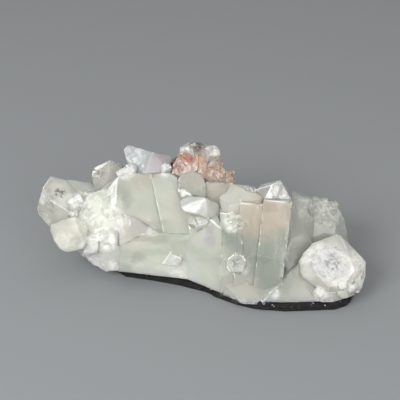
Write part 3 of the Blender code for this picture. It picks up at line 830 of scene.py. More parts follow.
def patched(tree, place, colour, patches):
    """A colour with patches on it, each a middle, a radius, a tint and a strength."""
    for middle, radius, tint, strength in patches:
        share = times(tree, spot(tree, place, middle, radius), strength)
        colour = mixed(tree, share, colour, tint)
    return colour


def spread(tree, place, spots):
    """The strongest of several spots, each a middle, a radius and a strength."""
    share = 0.0
    for middle, radius, strength in spots:
        here = times(tree, spot(tree, place, middle, radius, SPREAD_SOFTNESS), strength)
        share = strongest(tree, here, share)
    return share


print("a spot of radius 10 ends between", 10 * (1 - SPOT_SOFTNESS), "and", 10 * (1 + SPOT_SOFTNESS))

# %% [markdown]
# Two patterns serve both kinds of apophyllite. A mosaic of flat tilted cells looks like planes
# inside the crystal, and long streaks look like brushed cracks. Both fill space and don't follow
# the surface, so they run on from face to face without a seam and need no UV map.

# %% Facets and streaks
def facets(tree, place, size):
    """Flat cells, each tilted its own way: their height for a bump, and their shades."""
    inputs = {"Vector": place, "Scale": 1 / size}
    cells = add(tree, "ShaderNodeTexVoronoi", inputs, feature="F1").outputs["Color"]
    tilt = on_vectors(tree, "SUBTRACT", cells, (0.5,) * 3)
    slope = on_vectors(tree, "DOT_PRODUCT", tilt, place)
    return slope, add(tree, "ShaderNodeSeparateColor", {0: cells}).outputs[0]


def strokes(tree, place, turn, size, longer):
    """Long streaks across the specimen's front, turned by an angle in degrees, from 0 to 1."""
    inputs = {"Vector": place, "Angle": math.radians(turn)}
    aslant = add(tree, "ShaderNodeVectorRotate", inputs, rotation_type="Y_AXIS").outputs[0]
    return cloud(tree, aslant, size, 4.0, 0.6, stretch=(1 / longer, 1.0, 1.0))


print("pattern helpers:", ", ".join(helper.__name__ for helper in (facets, strokes)))

# %% [markdown]
# Edges are white where they are worn, because a chipped edge scatters light, and also where they
# are painted with glints, the highlights that sharp edges catch. The relief has stored where the
# sharp edges are, so the finish only has to say where the white is strong: in some places every
# edge is a white line. The small dark scribbles are dirt in scratches. Both could be thin
# geometry, but they are far narrower than any face.

# %% Worn edges, painted edge glints and scratches
LINE_WHITE = (0.97, 0.965, 0.93, 1)
SCRATCH_DARK = (0.13, 0.12, 0.10, 1)

# middle, radius and strength of the places where every edge is a white line
RIMS = (
    ((-10, -14, 12), 6, 0.6),
    ((12.8, -19.5, 14.3), 5, 0.85),
    ((-57, 1, 26), 9, 0.8),
    ((-34, -2, 26), 12, 0.6),
    ((28, -5, 37), 7, 0.8),
    ((13, -11, 31), 6, 0.7),
    ((22.5, -12, 30), 4.5, 0.7),
    ((22.7, -15, 22), 4.5, 0.7),
    ((23, -18, 14), 4.5, 0.6),
    ((-28, 14.5, 38.5), 4, 0.8),
)

# middle, radius and strength of the small dark scribbles
SCRATCHED = (
    ((-51.2, 2.4, 30.1), 2, 0.8),
    ((-54.2, 0, 27), 3, 0.3),
    ((48.9, -1.5, 24.3), 1.3, 0.8),
    ((39.8, -5.5, 27.5), 2, 0.5),
    ((-36.5, 8, 35), 2.4, 0.4),
    ((57.3, -22.3, 11.5), 2, 0.5),
    ((46, -22.8, 17.5), 2.8, 0.5),
    ((12.8, -19.6, 14.4), 2, 0.35),
)


def scratched(tree, place, colour):
    """Draws short dark scribbles on a colour in the scratched places."""
    lines = ramp(tree, strokes(tree, place, -55, 0.8, 2.5), 0.47, 0.56)
    share = times(tree, spread(tree, place, SCRATCHED), lines)
    return mixed(tree, share, colour, SCRATCH_DARK)


def worn_and_glinting_edges(tree, place):
    """How white edges are, as wear and painted glints: here and there everywhere, all along in the
    rims.
    """
    wear = add(tree, "ShaderNodeAttribute", attribute_name="edge_wear").outputs["Fac"]
    at_the_rock = ramp(tree, axes_of(tree, place)[2], 4.5, 3.0, 0.0, 0.8)
    along = strongest(tree, spread(tree, place, RIMS), at_the_rock)
    along = strongest(tree, along, ramp(tree, cloud(tree, place, 4.0), 0.5, 0.65, 0.0, 0.5))
    return sums(tree, "MULTIPLY", ramp(tree, wear, 0.3, 0.9), along, clamp=True)


print(len(RIMS), "rims and", len(SCRATCHED), "scratched places")

# %% [markdown]
# Milky apophyllite is pale green below and turns cream, white or peach in patches, as iron and tiny
# bubbles vary. It is white where it is full of cracks, and grey where its surface is rough. All
# these places are listed first, so that the finish itself stays short.

# %% Places on the milky crystals
GREEN = (0.79, 0.84, 0.73, 1)
PALE = (0.84, 0.84, 0.74, 1)
CREAM = (0.93, 0.89, 0.79, 1)
WHITE = (0.86, 0.855, 0.80, 1)
PEACH = (0.80, 0.66, 0.54, 1)
RUST = (0.48, 0.25, 0.17, 1)
# a smoky grey-green tint, also used as painted shade in three patches below
SMOKE_AND_SHADE = (0.46, 0.51, 0.45, 1)
GREY = (0.50, 0.51, 0.50, 1)
# white for rims, chips and white spots, and in one patch painted light
RIM_AND_PAINTED_LIGHT_WHITE = (0.97, 0.97, 0.92, 1)
# cream lifted with painted light, for the cube's right faces
CREAM_AND_PAINTED_LIGHT = (0.99, 0.96, 0.87, 1)

# middle, radius, colour, strength
PATCHES = (
    ((-20, -14, 10), 15, GREEN, 0.7),
    ((3, -14, 12), 10, GREEN, 0.7),
    ((27, -17, 15), 12, SMOKE_AND_SHADE, 0.55),
    ((19, -15, 16), 9, SMOKE_AND_SHADE, 0.8),
    ((11.5, -13.5, 23), 5, SMOKE_AND_SHADE, 0.7),
    ((33, -20, 8), 9, SMOKE_AND_SHADE, 0.4),
    ((-45.3, 1.2, 28.6), 4.5, (0.98, 0.98, 0.95, 1), 1),
    ((-24, 2.5, 36), 5, PEACH, 0.25),
    ((-18.5, 4, 35), 2.6, PEACH, 0.4),
    ((-46.5, -9, 20.5), 8, CREAM, 0.9),
    ((-24, -9, 21), 7, CREAM, 1),
    ((-8, -4, 28), 7, CREAM, 0.4),
    ((-22.5, -13, 12), 2.5, SMOKE_AND_SHADE, 0.4),
    ((3, -11.5, 20), 5.5, (0.94, 0.97, 0.86, 1), 1),
    ((20, -12, 30), 8, PEACH, 0.8),
    ((28.5, -12, 30), 6.4, PEACH, 0.7),
    ((33, -11, 28), 2.6, RUST, 0.35),
    ((12.5, -6, 34), 6.5, (0.98, 0.93, 0.82, 1), 1),
    ((7, 1.5, 33), 6, PEACH, 0.4),
    ((58, -19, 10), 3, RUST, 0.25),
    ((36, -21.5, 10), 2.2, RUST, 0.2),
    ((14, -24, 4), 7, CREAM, 0.5),
    # the rough foot: partly its own pale tone, partly painted light that lifts the shade on its
    # downward faces
    ((-37, -9, 9), 9, (0.95, 0.96, 0.88, 1), 1),
    ((-6, -14, 9), 6, (0.88, 0.92, 0.83, 1), 0.8),
    ((47, -22, 14), 13.5, (0.97, 0.94, 0.86, 1), 0.9),
    ((56, -20, 13), 7, (0.97, 0.95, 0.88, 1), 1),
    ((-31.5, -11, 6.3), 2.6, RIM_AND_PAINTED_LIGHT_WHITE, 0.8),
    ((-25.4, -13.8, 6.6), 1.8, RIM_AND_PAINTED_LIGHT_WHITE, 0.3),
    ((-18, -14.2, 6.4), 1.5, RIM_AND_PAINTED_LIGHT_WHITE, 0.6),
    ((-9.1, -14.6, 5.4), 2.4, RIM_AND_PAINTED_LIGHT_WHITE, 0.8),
    ((-4, -15.2, 4.6), 1.8, RIM_AND_PAINTED_LIGHT_WHITE, 0.8),
    ((-10.1, -14.4, 11.4), 3, RIM_AND_PAINTED_LIGHT_WHITE, 0.35),
    ((13.1, -19, 14.7), 3, RIM_AND_PAINTED_LIGHT_WHITE, 0.15),
    # painted shade: the shading along the foot's lower edge
    ((-27.6, -13.8, 7.5), 3.5, SMOKE_AND_SHADE, 0.5),
    ((15.8, -20.2, 13), 2.4, RIM_AND_PAINTED_LIGHT_WHITE, 0.9),
    # painted light: brightens the flat crystal below the knob, in the knob's shadow
    ((-42, -8.3, 10.5), 4, RIM_AND_PAINTED_LIGHT_WHITE, 1),
    ((-39.8, -8.4, 14.5), 4.5, RIM_AND_PAINTED_LIGHT_WHITE, 0.9),
    ((-12.8, 7, 37.2), 3.2, RIM_AND_PAINTED_LIGHT_WHITE, 0.9),
    ((-27.5, 7, 37), 4.5, RIM_AND_PAINTED_LIGHT_WHITE, 0.9),
    # painted light: the cube's right faces turn from the key lamp, and these patches lift their
    # cream to near white
    ((4.3, -8, 32.1), 3.5, CREAM_AND_PAINTED_LIGHT, 1),
    ((4.8, -9.5, 29.8), 3.5, CREAM_AND_PAINTED_LIGHT, 1),
    ((7.5, -6.5, 31.5), 4, CREAM_AND_PAINTED_LIGHT, 0.9),
    ((39.5, -18, 18.5), 5.5, RIM_AND_PAINTED_LIGHT_WHITE, 1),
    ((55, -24.5, 8.5), 4, RIM_AND_PAINTED_LIGHT_WHITE, 0.9),
    # painted shade: tones down the lamp's highlight on this facet beside the bright face
    ((-30, -1, 31.5), 4.5, SMOKE_AND_SHADE, 0.6),
    ((-17, -8.8, 21), 2.5, RIM_AND_PAINTED_LIGHT_WHITE, 0.5),
    # painted shade: tones down the lamp's highlight on the cube's upper left facet
    ((-2.4, -9, 32), 4, SMOKE_AND_SHADE, 0.35),
    ((26.5, -25.6, 6), 2.2, RIM_AND_PAINTED_LIGHT_WHITE, 0.8),
    ((28, -14, 23), 4, SMOKE_AND_SHADE, 0.3),
    ((0, 18, 28), 10, CREAM, 0.5),
    ((28, 18, 20), 12, SMOKE_AND_SHADE, 0.5),
)

# middle, radius and strength of the places where the crystal is full of cracks and shines white
CRACKED = (
    ((-37.5, -2, 24), 9.5, 0.65),
    ((-35, -7.5, 16.5), 5, 1),
    ((-49, -11, 16), 5, 0.4),
    ((39, -22, 16), 5, 0.3),
    ((56, -20, 13), 6.5, 0.7),
    ((-2.5, -9, 31.5), 5.5, 0.35),
    ((26.5, -25.6, 6), 2.4, 0.7),
    ((13.1, -19, 14.7), 3, 0.25),
    ((-39.8, -8.4, 14.5), 4.5, 0.8),
    ((-12.8, 7, 37.2), 3, 0.9),
    ((-27.5, 7, 37), 4, 0.8),
    ((39.5, -18, 18.5), 5, 0.8),
    ((55, -24.5, 8.5), 4, 0.7),
    ((-17, -8.8, 21), 2.2, 0.4),
    ((-10.1, -14.4, 11.2), 3.2, 0.4),
    ((-31.5, -11, 6.3), 3, 0.7),
    ((-8, -14.7, 5.2), 3, 0.6),
    ((12, -12.3, 27), 3.6, 0.6),
    ((0.5, -11.5, 26.5), 3, 0.7),
    ((42.4, -26, 6.3), 2.5, 0.7),
    ((49.6, -26.7, 10.9), 3.5, 0.5),
    ((-44.5, 1, 28.5), 4, 0.9),
    ((-34, 22, 20), 9, 0.6),
    ((30, 17, 24), 7, 0.6),
)

# middle, radius and strength of the rough grey places
ROUGH = (
    ((45.5, -22.8, 17.3), 6.2, 1),
    ((-1.5, -8.6, 32.2), 5, 0.45),
    ((24, 20, 16), 6, 0.6),
)
print(len(PATCHES), "patches,", len(CRACKED), "cracked and", len(ROUGH), "rough places")

# %% [markdown]
# Light goes some way into the milky crystals, so their finish shares itself between three things:
# light that scatters under the surface, light that passes, and a pearly polish. The colour is laid
# on in layers, from the large patches to the white edges, which are wear and painted glints, and
# the same cracks that whiten it also let less light through.

# %% The milky green finish: its colour
MINERAL_IOR = 1.535
ROUGH_GREY = (0.60, 0.60, 0.60, 1)

milky, tree, surface = new_finish("milky_apophyllite")
place = millimetres(tree)
ragged = wandering(tree, place, 6.0, 5.0)
jagged = wandering(tree, place, 3.0, 4.0)
ground = mixed(tree, ramp(tree, cloud(tree, place, 14.0), 0.35, 0.65), GREEN, PALE)
colour = patched(tree, ragged, ground, PATCHES)

# big cells give the look of planes inside
inner_slope, inner_shade = facets(tree, wandering(tree, place, 2.0, 5.0), 7.0)
colour = mixed(tree, times(tree, inner_shade, 0.22), colour, WHITE)

# streaks, small cells and clear spots give the look of brushed cracks
cracked = spread(tree, jagged, CRACKED)
streaks = ramp(tree, strokes(tree, place, 28, 0.9, 5.0), 0.35, 0.65)
cell_shade = facets(tree, wandering(tree, place, 1.5, 3.0), 3.0)[1]
lit_streaks = ramp(tree, streaks, 0.0, 1.0, 0.5, 1.0)
bright = times(tree, lit_streaks, ramp(tree, cell_shade, 0.0, 0.8, 0.5, 1.0))
clear_spots = ramp(tree, cloud(tree, place, 3.5, 5.0, 0.6), 0.42, 0.58)
bright = strongest(tree, bright, times(tree, clear_spots, 0.85))
white_share = times(tree, cracked, bright)
colour = mixed(tree, white_share, colour, WHITE)

# fine white traces run where planes inside meet
planes = {"Vector": wandering(tree, place, 0.8, 6.0), "Scale": 1 / 11.0}
traces = add(tree, "ShaderNodeTexVoronoi", planes, feature="DISTANCE_TO_EDGE").outputs["Distance"]
seen = ramp(tree, cloud(tree, place, 7.0), 0.48, 0.62, 0.0, 0.3)
trace_share = times(tree, ramp(tree, traces, 0.016, 0.005), seen)
colour = mixed(tree, trace_share, colour, LINE_WHITE)

# rough places are grey with dark streaks, and edges white, as wear and painted glints
rough = spread(tree, jagged, ROUGH)
dark_streaks = ramp(tree, strokes(tree, place, -50, 0.8, 6.0), 0.50, 0.58)
colour = mixed(tree, times(tree, rough, 0.8), colour, ROUGH_GREY)
colour = mixed(tree, times(tree, rough, dark_streaks, 0.9), colour, GREY)
wear_and_glint = worn_and_glinting_edges(tree, place)
colour = mixed(tree, wear_and_glint, colour, LINE_WHITE)
colour = scratched(tree, place, colour)
print(milky.name, "has", len(tree.nodes), "nodes for its colour")

# %% [markdown]
# The body of the finish comes after its colour: how much light passes, how dull the polish is, and
# a bump for fine lines, the planes inside, brushed cracks and pits. The rock would show through
# the foot of the crystals on the left, so a little less light passes there.

# %% The milky green finish: its body
MOST_PASSING = 0.62  # the share of light that passes where the crystal is whole

opaque = strongest(tree, times(tree, white_share, 0.5), times(tree, rough, 0.35))
opaque = strongest(tree, opaque, times(tree, wear_and_glint, 0.45))
axes = axes_of(tree, place)
low = ramp(tree, axes[2], 16.0, 8.0, 0.0, 0.11)
opaque = strongest(tree, opaque, times(tree, low, ramp(tree, axes[0], 9.0, 3.0)))

dull = ramp(tree, cloud(tree, place, 3.0, 5.0), 0.45, 0.75, 0.06, 0.22)
dull = sums(tree, "ADD", dull, times(tree, rough, 0.2))

lines = cloud(tree, place, 0.7, 2.0, 0.5, stretch=(1.0, 0.09, 0.09))
brushed = times(tree, sums(tree, "SUBTRACT", streaks, 0.5), times(tree, cracked, 0.04))
pits = sums(tree, "SUBTRACT", cloud(tree, place, 0.9, 5.0, 0.65), 0.5)
reliefs = (
    times(tree, lines, 0.06), times(tree, inner_slope, 0.04), brushed, times(tree, pits, rough, 0.5)
)
plug_all(tree, surface, {
    "Base Color": colour,
    "Transmission Weight": sums(tree, "SUBTRACT", MOST_PASSING, opaque, clamp=True),
    "Roughness": sums(tree, "ADD", dull, times(tree, wear_and_glint, 0.2), clamp=True),
    "Normal": bumped(tree, sums(tree, "ADD", *reliefs)),
    "IOR": MINERAL_IOR,
    "Subsurface Weight": 1.0,
    "Subsurface Radius": (1.0, 1.0, 0.85),
    "Subsurface Scale": 2.8 * MM,
})
coat(mass, milky)
print(milky.name, "has", len(tree.nodes), "nodes")

# %% [markdown]
# The clear crystals are whole glassy forms that stand out of the mass. A clear thing takes its
# look from what is behind and inside it, so the finish is plainer: most of the light passes, with
# the mineral's index of refraction and a faint green absorption inside. The real ones are a little
# cloudy, so the rest of the light scatters, and cracks and the white edges, wear and painted
# glints, let less of it through.

# %% The clear crystals
clear = fused("clear_crystals", clear_shapes)
split_finely(clear, longest=1.1)
add_relief(clear, swell=0.05, chip=0.3)
shade(clear)

# middle, radius, colour, strength, and the cracked places as above
CLEAR_PATCHES = (
    ((-24, 13, 38.5), 7, (0.80, 0.87, 0.90, 1), 0.9),
    ((23.5, -5.5, 37), 2.6, (0.60, 0.61, 0.58, 1), 0.9),
    ((0, 13, 42), 8, (0.95, 0.88, 0.82, 1), 0.8),
    ((-13.5, 11, 38), 6, (0.55, 0.43, 0.48, 1), 0.9),
    ((46, -2, 18), 14, (0.72, 0.75, 0.68, 1), 0.9),
    ((36, -9, 20), 11, (0.72, 0.73, 0.65, 1), 0.9),
    ((-52, 3, 25), 12, (0.90, 0.89, 0.80, 1), 0.9),
    ((38, -5, 28.5), 6, (0.90, 0.91, 0.84, 1), 0.9),
    ((-35, 8, 33), 7, (0.82, 0.79, 0.70, 1), 0.9),
    # painted shade: tones down the lamp's highlight on the dome's left facet
    ((-6.5, -1, 33.5), 3, (0.66, 0.62, 0.52, 1), 0.9),
    ((-42, 6, 28), 6, (0.70, 0.73, 0.65, 1), 0.8),
    ((-3, 2.5, 36.5), 4.5, (0.88, 0.82, 0.72, 1), 0.9),
    ((-3, -2, 32), 4.5, (0.74, 0.76, 0.66, 1), 0.9),
    ((-0.8, 14, 44.2), 3.8, (0.22, 0.15, 0.12, 1), 1),
)
CLEAR_CRACKED = (
    ((-26, 13.5, 38.5), 6, 0.55),
    ((4.5, 12.5, 41), 4, 1),
    ((-1, 12, 41.5), 2.5, 0.5),
    ((-4.5, 13.5, 42.5), 3.5, 1),
    ((29.4, -7, 36), 3.8, 1),
    ((-39, 8, 35), 2, 0.4),
    ((46, -1, 25), 6, 0.5),
    ((-42.5, 2, 27), 4, 0.8),
    ((38, -5, 29), 5, 0.35),
    ((-45, -0.5, 23.5), 3.5, 0.9),
    ((-57.5, 3, 28), 3, 0.6),
    ((-57, 1, 20.5), 3, 0.5),
)
CLEAR_MOST_PASSING = 0.72
CLEAR_GROUND = (0.92, 0.93, 0.91, 1)

glassy, tree, surface = new_finish("clear_apophyllite")
place = millimetres(tree)
ragged = wandering(tree, place, 3.0, 3.0)
colour = patched(tree, ragged, CLEAR_GROUND, CLEAR_PATCHES)
inner_slope, inner_shade = facets(tree, wandering(tree, place, 1.5, 4.0), 4.5)
colour = mixed(tree, times(tree, inner_shade, 0.25), colour, WHITE)

cracked = spread(tree, ragged, CLEAR_CRACKED)
fine_slope, fine_shade = facets(tree, wandering(tree, place, 0.6, 1.5), 1.5)
glints = ramp(tree, cloud(tree, place, 1.2, 4.0), 0.4, 0.6, 0.5, 1.0)
white_share = times(tree, cracked, times(tree, ramp(tree, fine_shade, 0.1, 0.8, 0.2, 1.0), glints))
colour = mixed(tree, white_share, colour, WHITE)
# white edges, as wear and painted glints, as on the milky finish
wear_and_glint = worn_and_glinting_edges(tree, place)
colour = mixed(tree, wear_and_glint, colour, LINE_WHITE)

opaque = strongest(tree, times(tree, white_share, 0.5), times(tree, wear_and_glint, 0.4))
reliefs = (
    times(tree, fine_slope, times(tree, cracked, 0.12)),
    times(tree, cloud(tree, place, 2.5, 2.0), 0.05),
    times(tree, inner_slope, 0.04),
)
plug_all(tree, surface, {
    "Base Color": scratched(tree, place, colour),
    "Roughness": ramp(tree, cracked, 0.0, 1.0, 0.04, 0.2),
    "Transmission Weight": sums(tree, "SUBTRACT", CLEAR_MOST_PASSING, opaque, clamp=True),
    "Normal": bumped(tree, sums(tree, "ADD", *reliefs)),
    "IOR": MINERAL_IOR,
    "Subsurface Weight": 1.0,
    "Subsurface Radius": (1.0, 1.0, 0.9),
    "Subsurface Scale": 3.0 * MM,
})
inside = add(tree, "ShaderNodeVolumeAbsorption", {"Color": (0.86, 0.88, 0.83, 1), "Density": 12.0})
tree.links.new(inside.outputs[0], tree.nodes["Material Output"].inputs["Volume"])
coat(clear, glassy)
print(clear.name, "has", len(clear.data.polygons), "faces")

# %% [markdown]
# Small crystals, stilbite blades, the grains in the basalt and the flakes inside the clear crystals
# all follow one rule: they are strewn on a surface, denser where it says so, standing between its
# normal and a set direction, with some scatter. A particle system could do it, but its hairs don't
# export, so one Geometry Nodes tree serves them all and hands back a plain mesh.

# %% One tree that grows small things on a surface
GROWTH_INPUTS = (
    ("Seedling", "NodeSocketObject", None),  # the small shape, about a millimetre across
    ("Where", "NodeSocketString", ""),  # the stored attribute that says how dense, from 0 to 1
    ("Most per mm2", "NodeSocketFloat", 1.0),
    ("Seed", "NodeSocketInt", 0),
    ("Smallest", "NodeSocketFloat", 0.5),  # how much the small shape is scaled, at least
    ("Largest", "NodeSocketFloat", 1.5),
    ("Way", "NodeSocketVector", (0.0, 0.0, 1.0)),  # the set direction
    ("Follow", "NodeSocketFloat", 0.5),  # 0 stands along the way, 1 along the normal
    ("Scatter", "NodeSocketFloat", 0.2),
    ("Spin", "NodeSocketFloat", 0.0),  # how freely each turns round itself, 0 to 1
    ("Finish", "NodeSocketMaterial", None),
)


def growth_tree():
    """The Geometry Nodes tree that grows small things on a surface."""
    tree = bpy.data.node_groups.new("growth", "GeometryNodeTree")
    tree.interface.new_socket("Geometry", in_out="INPUT", socket_type="NodeSocketGeometry")
    for name, kind, value in GROWTH_INPUTS:
        socket = tree.interface.new_socket(name, in_out="INPUT", socket_type=kind)
        if value is not None:
            socket.default_value = value
    tree.interface.new_socket("Geometry", in_out="OUTPUT", socket_type="NodeSocketGeometry")
    given = add(tree, "NodeGroupInput").outputs
    chance = {"Seed": given["Seed"]}

    # points are strewn on the surface, as dense as the attribute says
    named = {"Name": given["Where"]}
    dense = add(tree, "GeometryNodeInputNamedAttribute", named, data_type="FLOAT")
    per_m2 = times(tree, given["Most per mm2"], 1 / MM**2)
    wanted = times(tree, dense.outputs["Attribute"], per_m2)
    ground = {"Mesh": given["Geometry"], "Density": wanted, **chance}
    kind = "GeometryNodeDistributePointsOnFaces"
    strewn = add(tree, kind, ground, distribute_method="RANDOM").outputs

    # each stands between the set way and the normal, and a little astray
    ends = {0: (-1,) * 3, 1: (1,) * 3, **chance}
    drift = add(tree, "FunctionNodeRandomValue", ends, data_type="FLOAT_VECTOR").outputs[0]
    stand = add(tree, "ShaderNodeMix", data_type="VECTOR")
    plug_all(tree, stand, {0: given["Follow"], 4: given["Way"], 5: strewn["Normal"]})
    astray = {0: drift, "Scale": given["Scatter"]}
    astray = add(tree, "ShaderNodeVectorMath", astray, operation="SCALE").outputs[0]
    way = {"Vector": on_vectors(tree, "ADD", stand.outputs[1], astray)}
    upright = add(tree, "FunctionNodeAlignRotationToVector", way, axis="Z").outputs[0]

    # each is turned round itself by chance
    ends = {2: 0.0, 3: times(tree, given["Spin"], math.tau), **chance}
    angle = add(tree, "FunctionNodeRandomValue", ends, data_type="FLOAT").outputs[1]
    round_itself = {"Axis": (0, 0, 1), "Angle": angle}
    spun = {0: upright, 1: add(tree, "FunctionNodeAxisAngleToRotation", round_itself).outputs[0]}
    placed = add(tree, "FunctionNodeRotateRotation", spun, rotation_space="LOCAL").outputs[0]

    # the small shape is put on each point, made real and given its finish
    ends = {2: given["Smallest"], 3: given["Largest"], **chance}
    size = add(tree, "FunctionNodeRandomValue", ends, data_type="FLOAT").outputs[1]
    shape = add(tree, "GeometryNodeObjectInfo", {"Object": given["Seedling"]}).outputs["Geometry"]
    points = {"Points": strewn["Points"], "Instance": shape, "Rotation": placed, "Scale": size}
    planted = add(tree, "GeometryNodeInstanceOnPoints", points).outputs[0]
    real = add(tree, "GeometryNodeRealizeInstances", {"Geometry": planted}).outputs[0]
    finish = {"Geometry": real, "Material": given["Finish"]}
    dressed = add(tree, "GeometryNodeSetMaterial", finish).outputs[0]
    add(tree, "NodeGroupOutput", {"Geometry": dressed})
    return tree


GROWTH = growth_tree()
print("the growth tree has", len(GROWTH.nodes), "nodes")

# %% [markdown]
# To use the tree, a surface needs a stored number that says where things grow, and the tree needs a
# small shape to strew. The result is taken as a mesh of its own, and the surface stays as it was.

# %% Seedlings and what grows from them
def store(thing, name, rule):
    """Stores a number at each point of a mesh, from a rule on its place."""
    values = [rule(on_stone(vert.co)) for vert in thing.data.vertices]
    stored = thing.data.attributes.new(name, "FLOAT", "POINT")
    stored.data.foreach_set("value", values)


def seedling(name, points):
    """A small shape to strew, from its corners in millimetres; it is removed at the end."""
    shape = hull(points)
    mesh = bpy.data.meshes.new(name)
    bmesh.ops.scale(shape, vec=(MM, MM, MM), verts=shape.verts)
    shape.to_mesh(mesh)
    shape.free()
    return new_object(name, mesh)


def grown(name, host, **settings):
    """Runs the growth tree on a host surface, and gives its result as a plain mesh object."""
    modifier = host.modifiers.new("growth", "NODES")
    modifier.node_group = GROWTH
    for item in GROWTH.interface.items_tree:
        key = item.name.replace(" ", "_")
        if item.in_out == "INPUT" and key in settings:
            modifier[item.identifier] = settings[key]
    bpy.context.view_layer.update()
    evaluated = host.evaluated_get(bpy.context.evaluated_depsgraph_get())
    mesh = bpy.data.meshes.new_from_object(evaluated)
    host.modifiers.remove(modifier)
    print(name, "has", len(mesh.polygons), "faces")
    return new_object(name, mesh)


crystal_corners = prism_corners((0, 0, 0.6), (0, 0, 1), (0, -1, 0), 0.9, 0.8, 1.3, 0.22)
crystal_seed = seedling("crystal_seed", crystal_corners)
print("the small crystal has", len(crystal_seed.data.polygons), "faces")

# %% [markdown]
# Druse, cleavage flakes and other very small crystals look white however clear they are, because
# light bounces off so many faces. Tracing all those bounces would be slow and grainy, so these
# small things get a bright finish that lets only part of the light through.

# %% The frosted white finish
FROST_DIM = (0.90, 0.90, 0.86, 1)
FROST_BRIGHT = (0.97, 0.97, 0.95, 1)

frosted, tree, surface = new_finish("frosted_white")
place = millimetres(tree)
tint = mixed(tree, ramp(tree, cloud(tree, place, 2.0), 0.35, 0.65), FROST_DIM, FROST_BRIGHT)
plug_all(tree, surface, {
    "Base Color": tint,
    "Roughness": ramp(tree, cloud(tree, place, 1.0), 0.3, 0.7, 0.08, 0.3),
    "IOR": MINERAL_IOR,
    "Transmission Weight": 0.25,
    "Subsurface Weight": 0.8,
    "Subsurface Radius": (1.0, 1.0, 0.9),
    "Subsurface Scale": 1.5 * MM,
})
print(frosted.name, "is for druse, flakes and grains")

# %% [markdown]
# A druse of tiny crystals sits in the gaps between the big ones. They grow parallel to the crystal
# that they stand on, so they keep nearly to one direction, and sparkle together when light comes
# from the right side. Noise thins each patch out, because a druse is never even.

# %% Druse on the mass
# middle of each patch of druse, its radius, and how dense it is
DRUSE = (
    ((11.8, -13, 27), 2.6, 1),
    ((10.5, -11, 29.5), 1.8, 0.8),
    ((0.8, -12, 28), 2.2, 0.9),
    ((-1.5, -11.5, 25.5), 2, 0.6),
    ((-27, 7.5, 37.5), 2.4, 0.9),
    ((-12, 8, 38.5), 2.2, 0.9),
    ((26.5, -25.4, 6), 1.4, 0.3),
    ((18, -4.5, 36.5), 3, 0.5),
    ((-4, 19, 30), 5, 0.8),
    ((20, 16, 24), 4, 0.8),
    ((-24, 20, 22), 4, 0.8),
    ((36, 12, 20), 4, 0.8),
)
DRUSE_LEAST, DRUSE_GAIN, DRUSE_WAVES = 0.35, 1.6, 0.5


def druse_density(place):
    """How dense the druse is at a place."""
    share = 0.0
    for middle, radius, most in DRUSE:
        away = (place - Vector(middle)).length / radius
        share = max(share, most * (1 - away * away)) if away < 1 else share
    return share * (DRUSE_LEAST + max(0.0, noise.noise(place * DRUSE_WAVES)) * DRUSE_GAIN)


store(mass, "druse", druse_density)
druse = grown(
    "druse", mass, Seedling=crystal_seed, Where="druse", Most_per_mm2=1.8, Seed=4,
    Smallest=0.3, Largest=1.0, Way=(0.05, 0.1, 0.95), Follow=0.45, Scatter=0.28, Spin=0.1,
    Finish=frosted,
)

# %% [markdown]
# A crystal that is clear still has healed cracks inside, sheets of tiny bubbles that catch the
# light as white veils. Without them it would look like moulded glass. A section through each
# crystal gives a sheet, noise bends it and leaves it patchy, and flakes are strewn on it.

# %% Veils inside the clear crystals
VEILS_EACH = 3
VEIL_INSET = 0.84  # the sheets stay inside, within this share of the crystal
VEIL_OFFSET = 3.0  # mm: how far from the crystal's middle a sheet passes, along each axis


def sections(points, dice):
    """A few planes cut through a shrunken copy of a crystal, as one bmesh of flat faces."""
    found = bmesh.new()
    middle = sum((Vector(point) for point in points), Vector()) / len(points)
    for _ in range(VEILS_EACH):
        shape = hull([middle + (Vector(point) - middle) * VEIL_INSET for point in points])
        normal = Vector([dice.uniform(-1, 1) for _ in range(3)]).normalized()
        through = middle + Vector([dice.uniform(-VEIL_OFFSET, VEIL_OFFSET) for _ in range(3)])
        whole = shape.verts[:] + shape.edges[:] + shape.faces[:]
        cut = bmesh.ops.bisect_plane(shape, geom=whole, plane_co=through, plane_no=normal)
        cut_points = [item for item in cut["geom_cut"] if isinstance(item, bmesh.types.BMVert)]
        ring = [found.verts.new(item.co) for item in cut_points]
        shape.free()
        if len(ring) < 3:
            continue
        centre = sum((vert.co for vert in ring), Vector()) / len(ring)
        side = (ring[0].co - centre).normalized()
        other = normal.cross(side)

        def angle(vert):
            """Where a point lies round the middle of its ring."""
            away = vert.co - centre
            return math.atan2(away.dot(other), away.dot(side))

        ring.sort(key=angle)
        found.faces.new(ring)
    return found


def veil_density(place):
    """How dense the flakes are at a place on a sheet."""
    return max(0.0, min(1.0, 4 * noise.noise(place * 0.35) + 0.2))


sheets = bmesh.new()
for name in CLEAR:
    piece_sheets = bpy.data.meshes.new("sheet")
    cut = sections(BLOCKS[name], dice)
    cut.to_mesh(piece_sheets)
    cut.free()
    sheets.from_mesh(piece_sheets)
veil_sheets = to_object("veil_sheets", sheets)
split_finely(veil_sheets, longest=1.4)
move_along_normals(veil_sheets, lambda place: 0.8 * noise.noise(place * 0.3))
store(veil_sheets, "veil", veil_density)

FLAKE = (
    (0.5, 0, 0.02), (0.2, 0.4, 0.02), (-0.4, 0.25, 0.02), (-0.45, -0.2, 0.02), (0.1, -0.4, 0.02),
    (0, 0, -0.03),
)
flake_seed = seedling("flake_seed", FLAKE)
veils = grown(
    "veils", veil_sheets, Seedling=flake_seed, Where="veil", Most_per_mm2=0.35, Seed=9,
    Smallest=0.3, Largest=1.3, Way=(0.05, 0.4, 0.9), Follow=0.2, Scatter=0.15, Spin=1.0,
    Finish=frosted,
)
bpy.data.objects.remove(veil_sheets)

